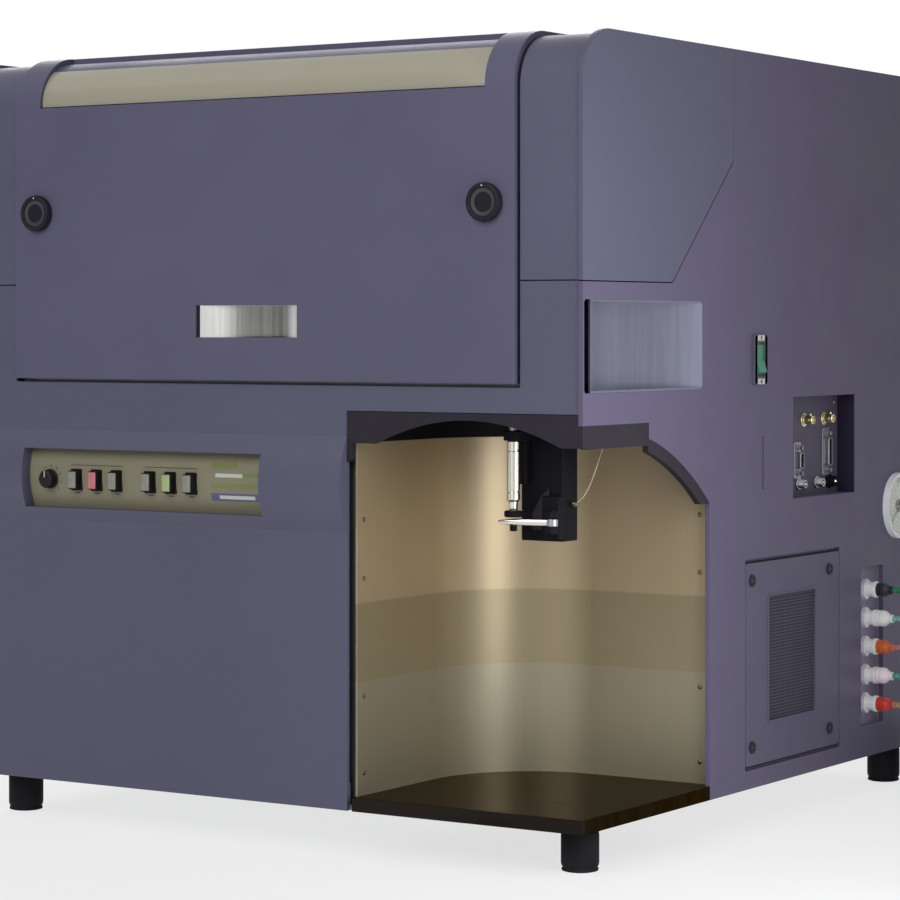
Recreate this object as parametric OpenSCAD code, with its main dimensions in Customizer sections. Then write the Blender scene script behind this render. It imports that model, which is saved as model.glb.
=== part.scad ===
// Benchtop flow cytometer with an open sample bay in its right front corner.
// +X right, +Y back, +Z up. The origin lies on the bench, under the middle of the instrument.

/* [Housing] */
// Width over the side panels
body_w = 724; // [700:2:780]
// Depth from the front face to the rear face
body_d = 760; // [750:2:820]
// Height from the bench to the top edge of the side panels
body_h = 762; // [756:1:800]
// Thickness of the side panels
side_t = 5; // [4:0.5:7]
// Thickness of the front, top and rear skins
skin_t = 4; // [3:0.5:5]
// How far the top skin lies below the edge of the side panels
top_drop = 3.5; // [2:0.5:6]
// How far the front skin lies behind the edge of the side panels
front_inset = 1; // [0.5:0.5:3]
// Radius of the bend from the front to the top
bend_r = 48; // [36:1:60]
// Gap between two fixed panels
seam_gap = 1; // [0.5:0.1:1.5]
// Height of the seam between the lower housing and the upper cover
seam_z = 535; // [520:1:560]
// Depth at which the level part of the side seam ends
seam_b1 = 165; // [140:1:200]
// Depth at which the sloping part of the side seam ends
seam_b2 = 289; // [270:1:320]
// Height at which the sloping part of the side seam ends
seam_top = 654; // [620:1:700]
// Thickness of the base pan
base_t = 5; // [3:0.5:8]

/* [Feet] */
// Height of the feet
foot_h = 42; // [30:1:60]
// Diameter of the feet
foot_d = 35; // [28:1:45]
// Distance from a side face to the middle of a foot
foot_in_x = 34; // [28:1:50]
// Distance from the front or rear face to the middle of a foot
foot_in_y = 53; // [40:1:70]

/* [Door] */
// Width of the door
door_w = 585; // [560:1:600]
// Height of the bottom edge of the door
door_z = 442; // [430:1:460]
// How far the door stands proud of the skins beside it
door_proud = 5; // [3:0.5:8]
// Thickness of the door
door_t = 4; // [3:0.5:5]
// Depth of the return flange round the door
flange_d = 16; // [12:1:20]
// Gap round the door
door_gap = 3.5; // [2:0.5:5]
// Distance of the hinge axis behind the front face
hinge_b = 240; // [220:1:255]
// Radius of the hinge knuckles
knuckle_r = 4; // [3.5:0.1:5]
// Radius of the hinge pins
pin_r = 2; // [1.5:0.1:2.5]
// Distance of a hinge from the middle of the door
hinge_x = 190; // [120:5:240]
// Length of one hinge
hinge_len = 64; // [50:1:90]
// Distance from the door's side edge to the middle of a lock
lock_in = 29.5; // [26:0.5:34]
// Height of the locks
lock_z = 606; // [580:1:630]
// Diameter of a lock knob
lock_d = 36; // [28:1:40]
// How far a lock knob stands proud of the door
lock_h = 8; // [6:0.5:12]
// Radius of a lock's shaft
lock_shaft_r = 8; // [6:0.5:9]
// Width of the door pull
pull_w = 115; // [90:1:140]
// Height of the door pull
pull_h = 31; // [24:1:40]
// Height of the middle of the door pull
pull_z = 498.5; // [485:0.5:520]
// Depth of the hollow in the door pull
pull_sag = 14; // [8:0.5:18]
// Distance from the trim strip's end to the door's side edge
trim_in = 31; // [24:1:50]
// Depth of the groove that holds the trim strip
trim_d = 5.5; // [4:0.5:7]

/* [Control strip] */
// Height of the lower edge of the bulging band
band_z0 = 301; // [290:1:310]
// Height of the upper edge of the bulging band
band_z1 = 391; // [380:1:400]
// How far the band bulges
band_rise = 13.5; // [10:0.5:18]
// Left end of the control strip, from the right side of the housing
strip_a1 = 640; // [620:1:660]
// Right end of the control strip, from the right side of the housing
strip_a0 = 348; // [330:1:370]
// Lower edge of the control strip
strip_z0 = 314; // [310:0.5:320]
// Upper edge of the control strip
strip_z1 = 372.5; // [368:0.5:378]
// Depth of the control strip below the band
strip_d = 13; // [10:0.5:15]
// Width of a button
button_w = 11; // [9:0.5:13]
// Height of a button
button_h = 18; // [14:0.5:20]
// How far a button stands out of the control strip
button_out = 8; // [6:0.5:9]
// Travel of a button
button_travel = 2.5; // [1:0.5:4]
// Pitch of the buttons in a group
button_pitch = 25.2; // [20:0.2:27]
// Place of the first button of the left group, from the right side
button_a1 = 580; // [570:1:590]
// Place of the first button of the right group, from the right side
button_a2 = 488; // [480:1:495]
// Diameter of the flow knob
knob_d = 18; // [14:1:22]
// Place of the flow knob, from the right side
knob_a = 613; // [605:1:620]
// Height of the knob and the buttons
row_z = 342; // [335:0.5:350]

/* [Sample bay] */
// Width of the sample bay
bay_w = 247; // [240:1:260]
// Depth of the sample bay
bay_d = 250; // [244:1:262]
// Radius of the bay's rear corner
bay_r = 110; // [70:1:120]
// Thickness of the bay's liner
liner_t = 2; // [1.5:0.5:3]
// Thickness of the bay's floor plate
floor_t = 13; // [10:0.5:16]
// Top edge of the beige liner
liner_top = 385; // [378:1:392]
// Top edge of the front fascia
fascia_top = 414.5; // [410:0.5:420]
// Rise of the arch cut into the front fascia
arch_rise = 23; // [16:0.5:25]
// Half width of the arch
arch_half = 100; // [80:1:105]
// Place of the middle of the arch, from the right side
arch_a = 124; // [115:1:130]
// Thickness of the fascias
fascia_t = 6; // [4:0.5:8]
// Top edge of the side cut-out
side_cut_top = 405; // [400:0.5:408]
// Depth of the level part of the side cut-out
side_cut_b = 121; // [110:1:130]
// Depth of the whole side cut-out
side_cut_d = 240; // [230:1:243]
// Radius of the curved part of the side cut-out
side_cut_r = 300; // [280:1:330]
// Depth of the middle of that curve
side_arc_b = 40; // [30:1:60]
// Height at which the curve ends at the back of the side cut-out
side_arc_end = 325; // [315:1:335]
// Height of the strip above the side cut-out
side_strip_h = 21; // [16:0.5:24]
// Width of the dark trim along the curve
side_trim_w = 12; // [8:0.5:16]

/* [Sample injection] */
// Right face of the injection block, from the right side of the housing
block_a = 62; // [55:1:70]
// Width of the injection block
block_w = 45; // [40:1:50]
// Front face of the injection block, from the front of the housing
block_b = 70; // [64:1:80]
// Depth of the injection block
block_d = 27; // [22:1:34]
// Lower face of the injection block
block_z = 296; // [288:1:305]
// Place of the needle, from the right side
needle_a = 100; // [94:1:104]
// Place of the needle, from the front
needle_b = 45; // [38:1:52]
// Diameter of the outer sleeve
sleeve_d = 12; // [9:0.5:15]
// Lower end of the outer sleeve
sleeve_z = 334; // [328:1:342]
// Length of the outer sleeve
sleeve_len = 55; // [45:1:60]
// Pivot of the support arm, from the right side
arm_a = 64; // [60:1:68]
// Pivot of the support arm, from the front
arm_b = 54; // [50:1:58]
// Length of the support arm
arm_len = 52; // [44:1:58]
// Thickness of the support arm
arm_t = 7; // [5:0.5:8]
// Top face of the support arm
arm_z = 318; // [314:0.5:319]

/* [Right side] */
// Front edge of the grip scoop
scoop_b0 = 2; // [1:0.5:8]
// Rear edge of the grip scoop
scoop_b1 = 226; // [210:1:240]
// Lower edge of the grip scoop
scoop_z0 = 434; // [428:1:440]
// Upper edge of the grip scoop
scoop_z1 = 518; // [510:1:524]
// Depth of the hollow in the grip scoop
scoop_sag = 26; // [18:1:30]
// Place of the power switch, from the front
switch_b = 343; // [330:1:350]
// Height of the middle of the power switch
switch_z = 461; // [450:1:470]
// Front edge of the connector recess
sockets_b0 = 418; // [410:1:425]
// Rear edge of the connector recess
sockets_b1 = 562; // [555:1:568]
// Lower edge of the connector recess
sockets_z0 = 321; // [315:1:326]
// Upper edge of the connector recess
sockets_z1 = 423; // [418:1:428]
// Depth of the connector recess
sockets_d = 20; // [16:0.5:26]
// Front edge of the air intake cover
vent_b0 = 315; // [310:1:320]
// Rear edge of the air intake cover
vent_b1 = 524; // [518:1:530]
// Lower edge of the air intake cover
vent_z0 = 64; // [60:1:68]
// Upper edge of the air intake cover
vent_z1 = 262; // [256:1:268]
// Diameter of the pressure gauge
gauge_d = 70.5; // [60:0.5:76]
// Distance of the pressure gauge from the rear face
gauge_in = 94; // [88:1:104]
// Height of the pressure gauge
gauge_z = 302; // [295:1:310]
// Pitch of the tube couplings
tube_pitch = 30; // [26:0.5:32]
// Place of the tube couplings, from the front
tube_b = 600; // [590:1:606]
// Height of the top tube coupling
tube_z = 217; // [206:1:226]

/* [Inside] */
// Thickness of the optical bench
bench_t = 12; // [8:1:16]
// Top face of the optical bench
bench_z = 468; // [460:1:480]
// Width of the chassis uprights
upright_w = 30; // [20:1:40]
// Number of lasers
laser_n = 4; // [2:1:5]
// Number of circuit boards in the card cage
card_n = 7; // [4:1:9]
// Diameter of the cooling fan
fan_d = 120; // [92:1:140]
// Number of fan blades
blade_n = 7; // [5:1:9]

/* [Hidden] */
$fn = 64;

slate = [0.345, 0.345, 0.43];
slate_side = [0.38, 0.37, 0.45];
black = [0.07, 0.07, 0.08];
beige = [0.67, 0.62, 0.51];
silver = [0.78, 0.78, 0.78];
zinc = [0.6, 0.62, 0.64];

// Running clearance of a shaft in its bore, and the clear gap between two bodies
run_gap = 0.05;
clear = 0.3;

// The five fluid tubes
tube_n = 5;

// Faces of the housing
xr = body_w / 2;
xin = xr - side_t;
front_reach = band_rise - front_inset;
yf = -(body_d - front_reach) / 2;
yb = yf + body_d;
skin_y = yf + front_inset;
skin_z = body_h - top_drop;
inner_y = skin_y + skin_t;
inner_z = skin_z - skin_t;
rear_y = yb - skin_t;
pan_top = foot_h + base_t;
gauge_y = yb - gauge_in;

// A place given from the right side (a) or from the front (b) of the housing
function fx(a) = xr - a;
function fy(b) = yf + b;

// Box between two corners
module block(x0, x1, y0, y1, z0, z1) {
    translate([x0, y0, z0]) cube([x1 - x0, y1 - y0, z1 - z0]);
}

// A drawing of (Y, Z) carried along X
module along_x(x0, x1) {
    translate([x0, 0, 0]) rotate([90, 0, 90]) linear_extrude(x1 - x0) children();
}

// A drawing of (X, Z) carried along Y
module along_y(y0, y1) {
    translate([0, y1, 0]) rotate([90, 0, 0]) linear_extrude(y1 - y0) children();
}

// A drawing of (X, Y) carried along Z
module along_z(z0, z1) {
    translate([0, 0, z0]) linear_extrude(z1 - z0) children();
}

// Rectangle between two corners
module rect(u0, u1, v0, v1) {
    translate([u0, v0]) square([u1 - u0, v1 - v0]);
}

// Rectangle with round corners
module round_rect(u0, u1, v0, v1, r) {
    rect(u0 + r, u1 - r, v0, v1);
    rect(u0, u1, v0 + r, v1 - r);
    for (u = [u0 + r, u1 - r], v = [v0 + r, v1 - r]) translate([u, v]) circle(r);
}

// Cylinder along Y, from y0 to y1
module rod_y(x, z, y0, y1, r) {
    translate([x, y1, z]) rotate([90, 0, 0]) cylinder(h = y1 - y0, r = r);
}

// Cylinder along X, from x0 to x1
module rod_x(y, z, x0, x1, r) {
    translate([x0, y, z]) rotate([0, 90, 0]) cylinder(h = x1 - x0, r = r);
}

// Side view of a body with a round front top edge
module bend_view(y0, y1, z0, z1, r) {
    rect(y0 + r, y1, z0, z1);
    rect(y0, y1, z0, z1 - r);
    translate([y0 + r, z1 - r]) circle(r);
}

// Plan of the sample bay, grown by a wall
module bay_plan(grow, out) {
    cx = fx(bay_w) + bay_r;
    cy = fy(bay_d) - bay_r;
    rect(cx, xr + out, yf - out, fy(bay_d) + grow);
    rect(fx(bay_w) - grow, xr + out, yf - out, cy);
    translate([cx, cy]) circle(bay_r + grow);
}

// ---- Housing ----

jamb_w = 8;
pan_rim = 20;
pan_rim_t = 2;
floor_top = foot_h + floor_t;

module base_pan() {
    color(zinc) difference() {
        union() {
            block(-xin, xin, inner_y, rear_y, foot_h, pan_top);
            difference() {
                block(-xin, xin, inner_y, rear_y, pan_top, pan_top + pan_rim);
                block(-xin + pan_rim_t, xin - pan_rim_t, inner_y + pan_rim_t, rear_y - pan_rim_t,
                    pan_top - 1, pan_top + pan_rim + 1);
            }
        }
        along_z(foot_h - 1, pan_top + pan_rim + 1) bay_plan(liner_t, 1);
        block(fx(bay_w + jamb_w), xr, yf, inner_y + pan_rim_t, foot_h - 1, pan_top + pan_rim + 1);
        for (i = [0:5], j = [0:3])
            translate([-250 + i * 60, 60 + j * 60, foot_h - 1]) cylinder(h = base_t + 2, r = 9);
    }
}

// Turned feet with a rubber tread and a groove
foot_tread = 8;
module foot() {
    rotate_extrude() difference() {
        union() {
            rect(0, foot_d / 2 - 1.5, 0, foot_tread);
            rect(0, foot_d / 2, foot_tread, foot_h);
        }
        rect(foot_d / 2 - 1, foot_d, foot_h - 6, foot_h - 4);
    }
}

module feet() {
    color(black) for (x = [-xr + foot_in_x, xr - foot_in_x], y = [yf + foot_in_y, yb - foot_in_y])
        translate([x, y, 0]) foot();
}

rail_h = 20;
rail_t = 3;
bench_z0 = bench_z - bench_t;
scoop_wall = 2;
rail_x = xr - scoop_sag - scoop_wall - 4;
bench_x = rail_x - 2;
bench_y0 = inner_y + 22;
bench_y1 = rear_y - 70;
post_y = rear_y - upright_w - 12;

// A square tube standing on its end
module post(x, y, z0, z1) {
    difference() {
        block(x, x + upright_w, y, y + upright_w, z0, z1);
        block(x + rail_t, x + upright_w - rail_t, y + rail_t, y + upright_w - rail_t, z0 - 1, z1 + 1);
    }
}

module chassis_frame() {
    color(zinc) {
        left = -rail_x;
        right = rail_x - upright_w;
        bay_left = fx(bay_w + liner_t) - upright_w - 2;
        front = door_y + flange_d + 3;
        rail_z = bench_z0 - rail_h;
        post(left, front, pan_top, rail_z);
        post(bay_left, front, pan_top, rail_z);
        post(left, post_y, pan_top, inner_z);
        post(right, post_y, pan_top, inner_z);
        post(right, fy(bay_d + liner_t) + 2, pan_top, rail_z);
        // side rails, cross rails and a front sill under the optical bench
        for (x = [left, right]) difference() {
            block(x, x + upright_w, front, post_y, rail_z, bench_z0);
            block(x + rail_t, x + upright_w - rail_t, front - 1, post_y + 1, rail_z + rail_t,
                bench_z0 - rail_t);
        }
        for (y = [front, bench_y1 - upright_w])
            block(left + upright_w, right, y, y + rail_t, rail_z, bench_z0);
        // plates that carry the bay's ceiling
        for (x = [bay_left, right - upright_w])
            block(x, x + 2 * upright_w, front + upright_w, front + upright_w + rail_t,
                ceiling_z + ceiling_t, rail_z);
    }
}

ceiling_z = fascia_top - 4;
ceiling_t = 3;

// Circle of the bulging band in side view
band_mid = (band_z0 + band_z1) / 2;
band_half = (band_z1 - band_z0) / 2;
band_r = (band_half * band_half + band_rise * band_rise) / (2 * band_rise);
band_y = skin_y - band_rise + band_r;

// Side view of the band's skin, from radius r0 to r1
module band_view(r0, r1, y_back) {
    intersection() {
        difference() {
            translate([band_y, band_mid]) circle(r1);
            translate([band_y, band_mid]) circle(r0);
        }
        rect(band_y - band_r - 1, y_back, band_z0, band_z1);
    }
}

opening_x = door_w / 2 + door_gap;
strip_wall = 2.5;
strip_t = 2;
face_r = band_r - strip_d;

module lower_front_housing() {
    right = fx(bay_w + jamb_w);
    color(slate) {
        difference() {
            union() {
                block(-xin, xin, skin_y, inner_y, foot_h, seam_z - seam_gap / 2);
                along_x(-xin, right) band_view(1, band_r, skin_y);
            }
            block(-opening_x, opening_x, yf - 20, inner_y + 1, door_z - door_gap, seam_z);
            block(right, xr, yf - 20, inner_y + 1, foot_h - 1, fascia_top + 0.5);
            along_x(-xin + skin_t, right - skin_t) band_view(1, band_r - skin_t, inner_y + 1);
            block(fx(strip_a1), fx(strip_a0), yf - 20, inner_y + 1, strip_z0, strip_z1);
        }
        // walls of the recess that holds the control strip
        intersection() {
            difference() {
                block(fx(strip_a1) - strip_wall, fx(strip_a0) + strip_wall, yf - 20, inner_y + 40,
                    strip_z0 - strip_wall, strip_z1 + strip_wall);
                block(fx(strip_a1), fx(strip_a0), yf - 21, inner_y + 41, strip_z0, strip_z1);
            }
            along_x(-xin, right) band_view(1, band_r - 1, board_y);
        }
        // ribs behind the skin
        for (x = [-250, -130, -10])
            block(x, x + 3, inner_y, inner_y + 8, pan_top + pan_rim + 2, band_z0 - 4);
    }
}

module side_view() {
    bend_view(yf, yb, foot_h, body_h, bend_r);
}

// Part of the side view that belongs to the upper cover
module cheek_view(gap) {
    polygon([[yf - 1, seam_z - gap], [fy(seam_b1) + gap, seam_z - gap], [fy(seam_b2) + gap, seam_top - gap],
        [fy(seam_b2) + gap, body_h + 1], [yf - 1, body_h + 1]]);
}

cover_rear = fy(seam_b2);
cover_front = fy(hinge_b) + 8;
rib_d = 18;
rib_t = 3;
channel_w = 10;
channel_t = 2;
channel_z = skin_z + door_proud - flange_d - 1;

module upper_front_cover() {
    z0 = seam_z + seam_gap / 2;
    color(slate) {
        difference() {
            along_x(-xin, xin) difference() {
                bend_view(skin_y, cover_rear, z0, skin_z, bend_r);
                bend_view(inner_y, cover_rear + 1, z0 - 1, inner_z, bend_r - skin_t);
            }
            block(-opening_x, opening_x, yf - 1, cover_front, z0 - 1, body_h);
        }
        // ribs along both sides of the door opening, each with a slot that the lock's cam turns into
        for (x = [-opening_x - rib_t, opening_x]) difference() {
            along_x(x, x + rib_t) difference() {
                bend_view(inner_y - 1, cover_front, z0, inner_z + 1, bend_r - skin_t);
                bend_view(skin_y + rib_d, cover_front + 1, z0 - 1, skin_z - rib_d, bend_r - rib_d);
            }
            block(x - 1, x + rib_t + 1, cam_y - 0.5, cam_y + cam_t + 0.5,
                lock_z - cam_drop(lock_in + door_gap), lock_z + cam_w / 2 + 2);
        }
        // rain channel under the door's rear edge
        edge = opening_x + rib_t;
        block(-edge, edge, flap_rear - channel_w, cover_front + rib_t, channel_z - channel_t, channel_z);
        block(-edge, edge, cover_front, cover_front + rib_t, channel_z - channel_t, inner_z + 1);
        for (x = [-xr, xin]) along_x(x, x + side_t) intersection() {
            side_view();
            cheek_view(0);
        }
    }
}

module top_panel() {
    color(slate) {
        block(-xin, xin, cover_rear + seam_gap, yb, inner_z, skin_z);
        block(-xin, xin, cover_rear + seam_gap, cover_rear + seam_gap + rib_t, inner_z - rib_d, inner_z);
    }
}

side_arc_back = side_cut_d - side_arc_b;
side_arc_z = side_arc_end - sqrt(side_cut_r * side_cut_r - side_arc_back * side_arc_back);

// Side view of the opening that the sample bay has in the right side
module side_cut_view() {
    cy = fy(side_cut_b);
    rect(yf - 1, cy, foot_h - 1, side_cut_top);
    intersection() {
        translate([fy(side_arc_b), side_arc_z]) circle(side_cut_r, $fn = 256);
        rect(cy - 1, fy(side_cut_d), foot_h - 1, side_cut_top);
    }
}

cover_gap = 1.5;
cover_slot = 4;
vent_recess = 3.5;
slot_w = 5;
slot_len = 53;
slot_b = 351.5;
slot_mid = 359.5;
switch_w = 29;
switch_h = 50;
tray_wall = 2;
tray_b0 = tube_b - 23;
tray_b1 = tube_b + 32;
tray_z0 = tube_height(tube_n - 1) - 22;
tray_z1 = tube_z + 24;

module right_side_panel() {
    color(slate_side) difference() {
        along_x(xin, xr) difference() {
            side_view();
            cheek_view(seam_gap);
            side_cut_view();
            round_rect(fy(scoop_b0), scoop_y1, scoop_z0, scoop_z1, scoop_corner);
            rect(fy(switch_b) - switch_w / 2 + 3, fy(switch_b) + switch_w / 2 - 3,
                switch_z - switch_h / 2 + 3, switch_z + switch_h / 2 - 3);
            rect(fy(sockets_b0), fy(sockets_b1), sockets_z0, sockets_z1);
            rect(fy(tray_b0), fy(tray_b1), tray_z0, tray_z1);
            rect(fy(grille_b0) - 6, fy(grille_b1) + 6, grille_z0 - 6, grille_z1 + 6);
            translate([gauge_y, gauge_z]) circle(gauge_cup + clear);
            for (b = fastener_b, z = fastener_z) translate([fy(vent_b0 + b), vent_z0 + z])
                circle(stud_r + 0.5);
        }
        block(xr - vent_recess, xr + 1, fy(vent_b0) - cover_gap, fy(vent_b1) + cover_gap,
            vent_z0 - cover_slot, vent_z1 + cover_slot);
        along_x(xr - 2, xr + 1) round_rect(fy(slot_b) - slot_w / 2, fy(slot_b) + slot_w / 2,
            slot_mid - slot_len / 2, slot_mid + slot_len / 2, slot_w / 2 - 0.1);
    }
}

louvre_n = 9;
louvre_pitch = 14;

module left_side_panel() {
    color(slate_side) along_x(-xr, -xin) difference() {
        side_view();
        cheek_view(seam_gap);
        for (i = [0:louvre_n - 1]) rect(fy(480), fy(640), 120 + i * louvre_pitch, 126 + i * louvre_pitch);
    }
}

fan_x = -170;
fan_z = body_h - 152;
exhaust_n = 11;
exhaust_x = 60;
exhaust_pitch = 22;
exhaust_w = 8;
exhaust_h = 100;
inlet_x = 230;
inlet_z = 110;
panel_screw_x = xin - 57;
panel_screw_z = [80, body_h / 2, body_h - 42];

module rear_panel() {
    color(slate_side) along_y(rear_y, yb) difference() {
        rect(-xin, xin, foot_h, inner_z);
        // fan guard: three rings of slots between spokes
        translate([fan_x, fan_z]) for (r = [18, 34, 50]) difference() {
            circle(r + 5);
            circle(r - 5);
            for (t = [0:30:150]) rotate(t + 8) square([fan_d, 4], center = true);
        }
        for (i = [0:exhaust_n - 1]) translate([exhaust_x + i * exhaust_pitch, fan_z - exhaust_h / 2])
            square([exhaust_w, exhaust_h]);
        rect(inlet_x - 14, inlet_x + 14, inlet_z - 10, inlet_z + 10);
        for (x = [-panel_screw_x, panel_screw_x], z = panel_screw_z) translate([x, z]) circle(2.5);
    }
    // mains inlet with its three pins
    color(black) {
        along_y(rear_y - 22, rear_y) difference() {
            rect(inlet_x - 17, inlet_x + 17, inlet_z - 13, inlet_z + 13);
            rect(inlet_x - 12, inlet_x + 12, inlet_z - 8, inlet_z + 8);
        }
        block(inlet_x - 17, inlet_x + 17, rear_y - 25, rear_y - 22, inlet_z - 13, inlet_z + 13);
        for (p = [[-7, -2], [0, 3], [7, -2]])
            block(inlet_x + p[0] - 1, inlet_x + p[0] + 1, rear_y - 22, rear_y - 6, inlet_z + p[1] - 2.5,
                inlet_z + p[1] + 2.5);
    }
}

// ---- Door ----

door_x = door_w / 2;
door_y = skin_y - door_proud;
door_top = skin_z + door_proud;
door_r = bend_r + door_proud;
hinge_y = fy(hinge_b);
hinge_zc = door_top - door_t / 2;
flap_rear = hinge_y - knuckle_r - 0.5;
flange_t = 3;
trim_x = door_x - trim_in;
lock_x = door_x - lock_in;
pull_x = -4.5;
pull_gap = 4.5;
pull_wall = 2.5;
plate_t = 1.5;
cam_y = inner_y + 1;
cam_t = 3;
cam_w = 12;
cam_len = 38;

// How far below the lock's middle the turning cam reaches at a distance from it
function cam_drop(dist) = sqrt(cam_len * cam_len - dist * dist) + cam_w / 2 + 2;

// Side view of the door's shell between two depths below its outer face
module door_view(d0, d1) {
    difference() {
        bend_view(door_y + d0, flap_rear, door_z, door_top - d0, door_r - d0);
        bend_view(door_y + d1, flap_rear + 1, door_z - 1, door_top - d1, door_r - d1);
    }
}

// Side view of a sector of the door's bend, with angles from the top towards the front
module bend_sector(r0, r1, t0, t1) {
    far = 2 * r1;
    translate([door_y + door_r, door_top - door_r]) intersection() {
        difference() {
            circle(r1);
            circle(r0);
        }
        polygon([[0, 0], for (t = [t0, (2 * t0 + t1) / 3, (t0 + 2 * t1) / 3, t1]) [-far * sin(t),
            far * cos(t)]]);
    }
}

// Opening in the door for the pull, grown by a wall
module pull_opening(grow, y0, y1) {
    block(pull_x - pull_w / 2 - pull_gap - grow, pull_x + pull_w / 2 + grow, y0, y1,
        pull_z - pull_h / 2 - grow, pull_z + pull_h / 2 + grow);
}

knuckle_len = hinge_len / 2 - 5;

module door_shell() {
    color(slate) difference() {
        union() {
            along_x(-door_x, door_x) door_view(0, door_t);
            for (x = [-door_x, door_x - flange_t]) along_x(x, x + flange_t) door_view(door_t - 1, flange_d);
            for (x = [-150, 150]) along_x(x, x + flange_t) door_view(door_t - 1, flange_d - 4);
            block(-door_x, door_x, door_y, door_y + flange_d, door_z, door_z + flange_t);
            block(-door_x, door_x, flap_rear - flange_t, flap_rear, door_top - flange_d, door_top);
            along_x(-trim_x - flange_t, trim_x + flange_t)
                bend_sector(door_r - trim_d - door_t, door_r - 1, -3, 93);
            pull_opening(pull_wall, door_y + 1, door_y + pull_sag + 5);
            for (x = [-lock_x, lock_x]) rod_y(x, lock_z, door_y + 1, cam_y - clear, lock_shaft_r + 5);
            for (x = [-hinge_x, hinge_x]) {
                rod_x(hinge_y, hinge_zc, x - knuckle_len / 2, x + knuckle_len / 2, knuckle_r);
                block(x - knuckle_len / 2, x + knuckle_len / 2, flap_rear - 1, hinge_y,
                    hinge_zc - door_t / 2, hinge_zc + door_t / 2);
            }
        }
        along_x(-trim_x, trim_x) bend_sector(door_r - trim_d, door_r + 1, 0, 90);
        pull_opening(0, door_y - 1, door_y + pull_sag + 6);
        for (x = [-lock_x, lock_x]) {
            rod_y(x, lock_z, door_y - 1, cam_y + 1, lock_shaft_r + run_gap);
            side = sign(x);
            x1 = x + side * (lock_in + 1);
            x0 = x + side * (lock_in - flange_t - 1);
            block(min(x0, x1), max(x0, x1), cam_y - 0.5, cam_y + cam_t + 0.5,
                lock_z - cam_drop(lock_in - flange_t - 1), lock_z + cam_w / 2 + 2);
        }
        for (x = [-hinge_x, hinge_x])
            rod_x(hinge_y, hinge_zc, x - hinge_len, x + hinge_len, pin_r + run_gap);
    }
}

module door_trim_strip() {
    color(beige) along_x(-trim_x, trim_x) bend_sector(door_r - trim_d, door_r - trim_d + 1.8, 40, 89);
}

pull_half = pull_w / 2;
pull_r = (pull_half * pull_half + pull_sag * pull_sag) / (2 * pull_sag);

module door_pull() {
    color(silver) along_z(pull_z - pull_h / 2, pull_z + pull_h / 2) intersection() {
        translate([pull_x, door_y + 1 + pull_sag - pull_r]) difference() {
            circle(pull_r + plate_t, $fn = 96);
            circle(pull_r, $fn = 96);
        }
        rect(pull_x - pull_half, pull_x + pull_half, door_y, door_y + pull_sag + 4);
    }
}

leaf_t = 2;

module door_hinges() {
    color(zinc) for (x = [-hinge_x, hinge_x]) {
        rod_x(hinge_y, hinge_zc, x - hinge_len / 2, x + hinge_len / 2, pin_r);
        for (side = [-1, 1]) {
            x0 = side < 0 ? x - hinge_len / 2 : x + knuckle_len / 2 + clear;
            x1 = side < 0 ? x - knuckle_len / 2 - clear : x + hinge_len / 2;
            rod_x(hinge_y, hinge_zc, x0, x1, knuckle_r);
            block(x0, x1, hinge_y, hinge_y + knuckle_r + 1, skin_z, skin_z + leaf_t);
        }
        difference() {
            block(x - hinge_len / 2, x + hinge_len / 2, hinge_y + knuckle_r + clear, cover_front + 20,
                skin_z, skin_z + leaf_t);
            for (dx = [-20, 0, 20]) translate([x + dx, cover_front + 11, skin_z - 1])
                cylinder(h = leaf_t + 2, r = 2);
        }
    }
}

// Quarter-turn knob with its shaft and the cam behind the door
module lock_knob(x) {
    color(black) {
        difference() {
            union() {
                rod_y(x, lock_z, door_y - lock_h, door_y - clear, lock_d / 2);
                rod_y(x, lock_z, door_y - 1, cam_y + cam_t, lock_shaft_r);
            }
            difference() {
                rod_y(x, lock_z, door_y - lock_h - 1, door_y - lock_h + 2.5, lock_d / 2 - 5);
                block(x - 4, x + 4, door_y - lock_h - 2, door_y, lock_z - lock_d, lock_z + lock_d);
            }
            rod_y(x, lock_z, door_y - lock_h - 1, door_y - lock_h + 5, 3);
        }
        block(x - cam_w / 2, x + cam_w / 2, cam_y, cam_y + cam_t, lock_z - cam_len, lock_z);
    }
}

module left_lock_knob() { lock_knob(-lock_x); }
module right_lock_knob() { lock_knob(lock_x); }

// ---- Control strip ----

face_y = band_y - face_r;
button_places = [for (i = [0:2]) button_a1 - i * button_pitch,
    for (i = [0:2]) button_a2 - i * button_pitch];
knob_shaft_r = 3;
board_y = face_y + 13;

module control_panel() {
    color(beige) difference() {
        intersection() {
            along_x(fx(strip_a1), fx(strip_a0)) band_view(face_r - strip_t, face_r, band_y - 1);
            block(-xr, xr, yf - 20, band_y, strip_z0, strip_z1);
        }
        for (a = button_places)
            block(fx(a) - button_w / 2 - clear, fx(a) + button_w / 2 + clear, yf - 20, board_y,
            row_z - button_h / 2 - clear, row_z + button_h / 2 + clear);
        rod_y(fx(knob_a), row_z, yf - 20, board_y, knob_shaft_r + run_gap);
    }
}

module flow_knob() {
    x = fx(knob_a);
    color(black) difference() {
        union() {
            rod_y(x, row_z, face_y - 10, face_y - 0.6, knob_d / 2);
            rod_y(x, row_z, face_y - 1, face_y + 8, knob_shaft_r);
            for (t = [0:30:330]) rod_y(x + (knob_d / 2 - 0.4) * cos(t), row_z + (knob_d / 2 - 0.4) * sin(t),
                face_y - 9, face_y - 0.6, 1);
        }
        block(x - 0.6, x + 0.6, face_y - 11, face_y - 9.2, row_z, row_z + knob_d);
    }
}

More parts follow.
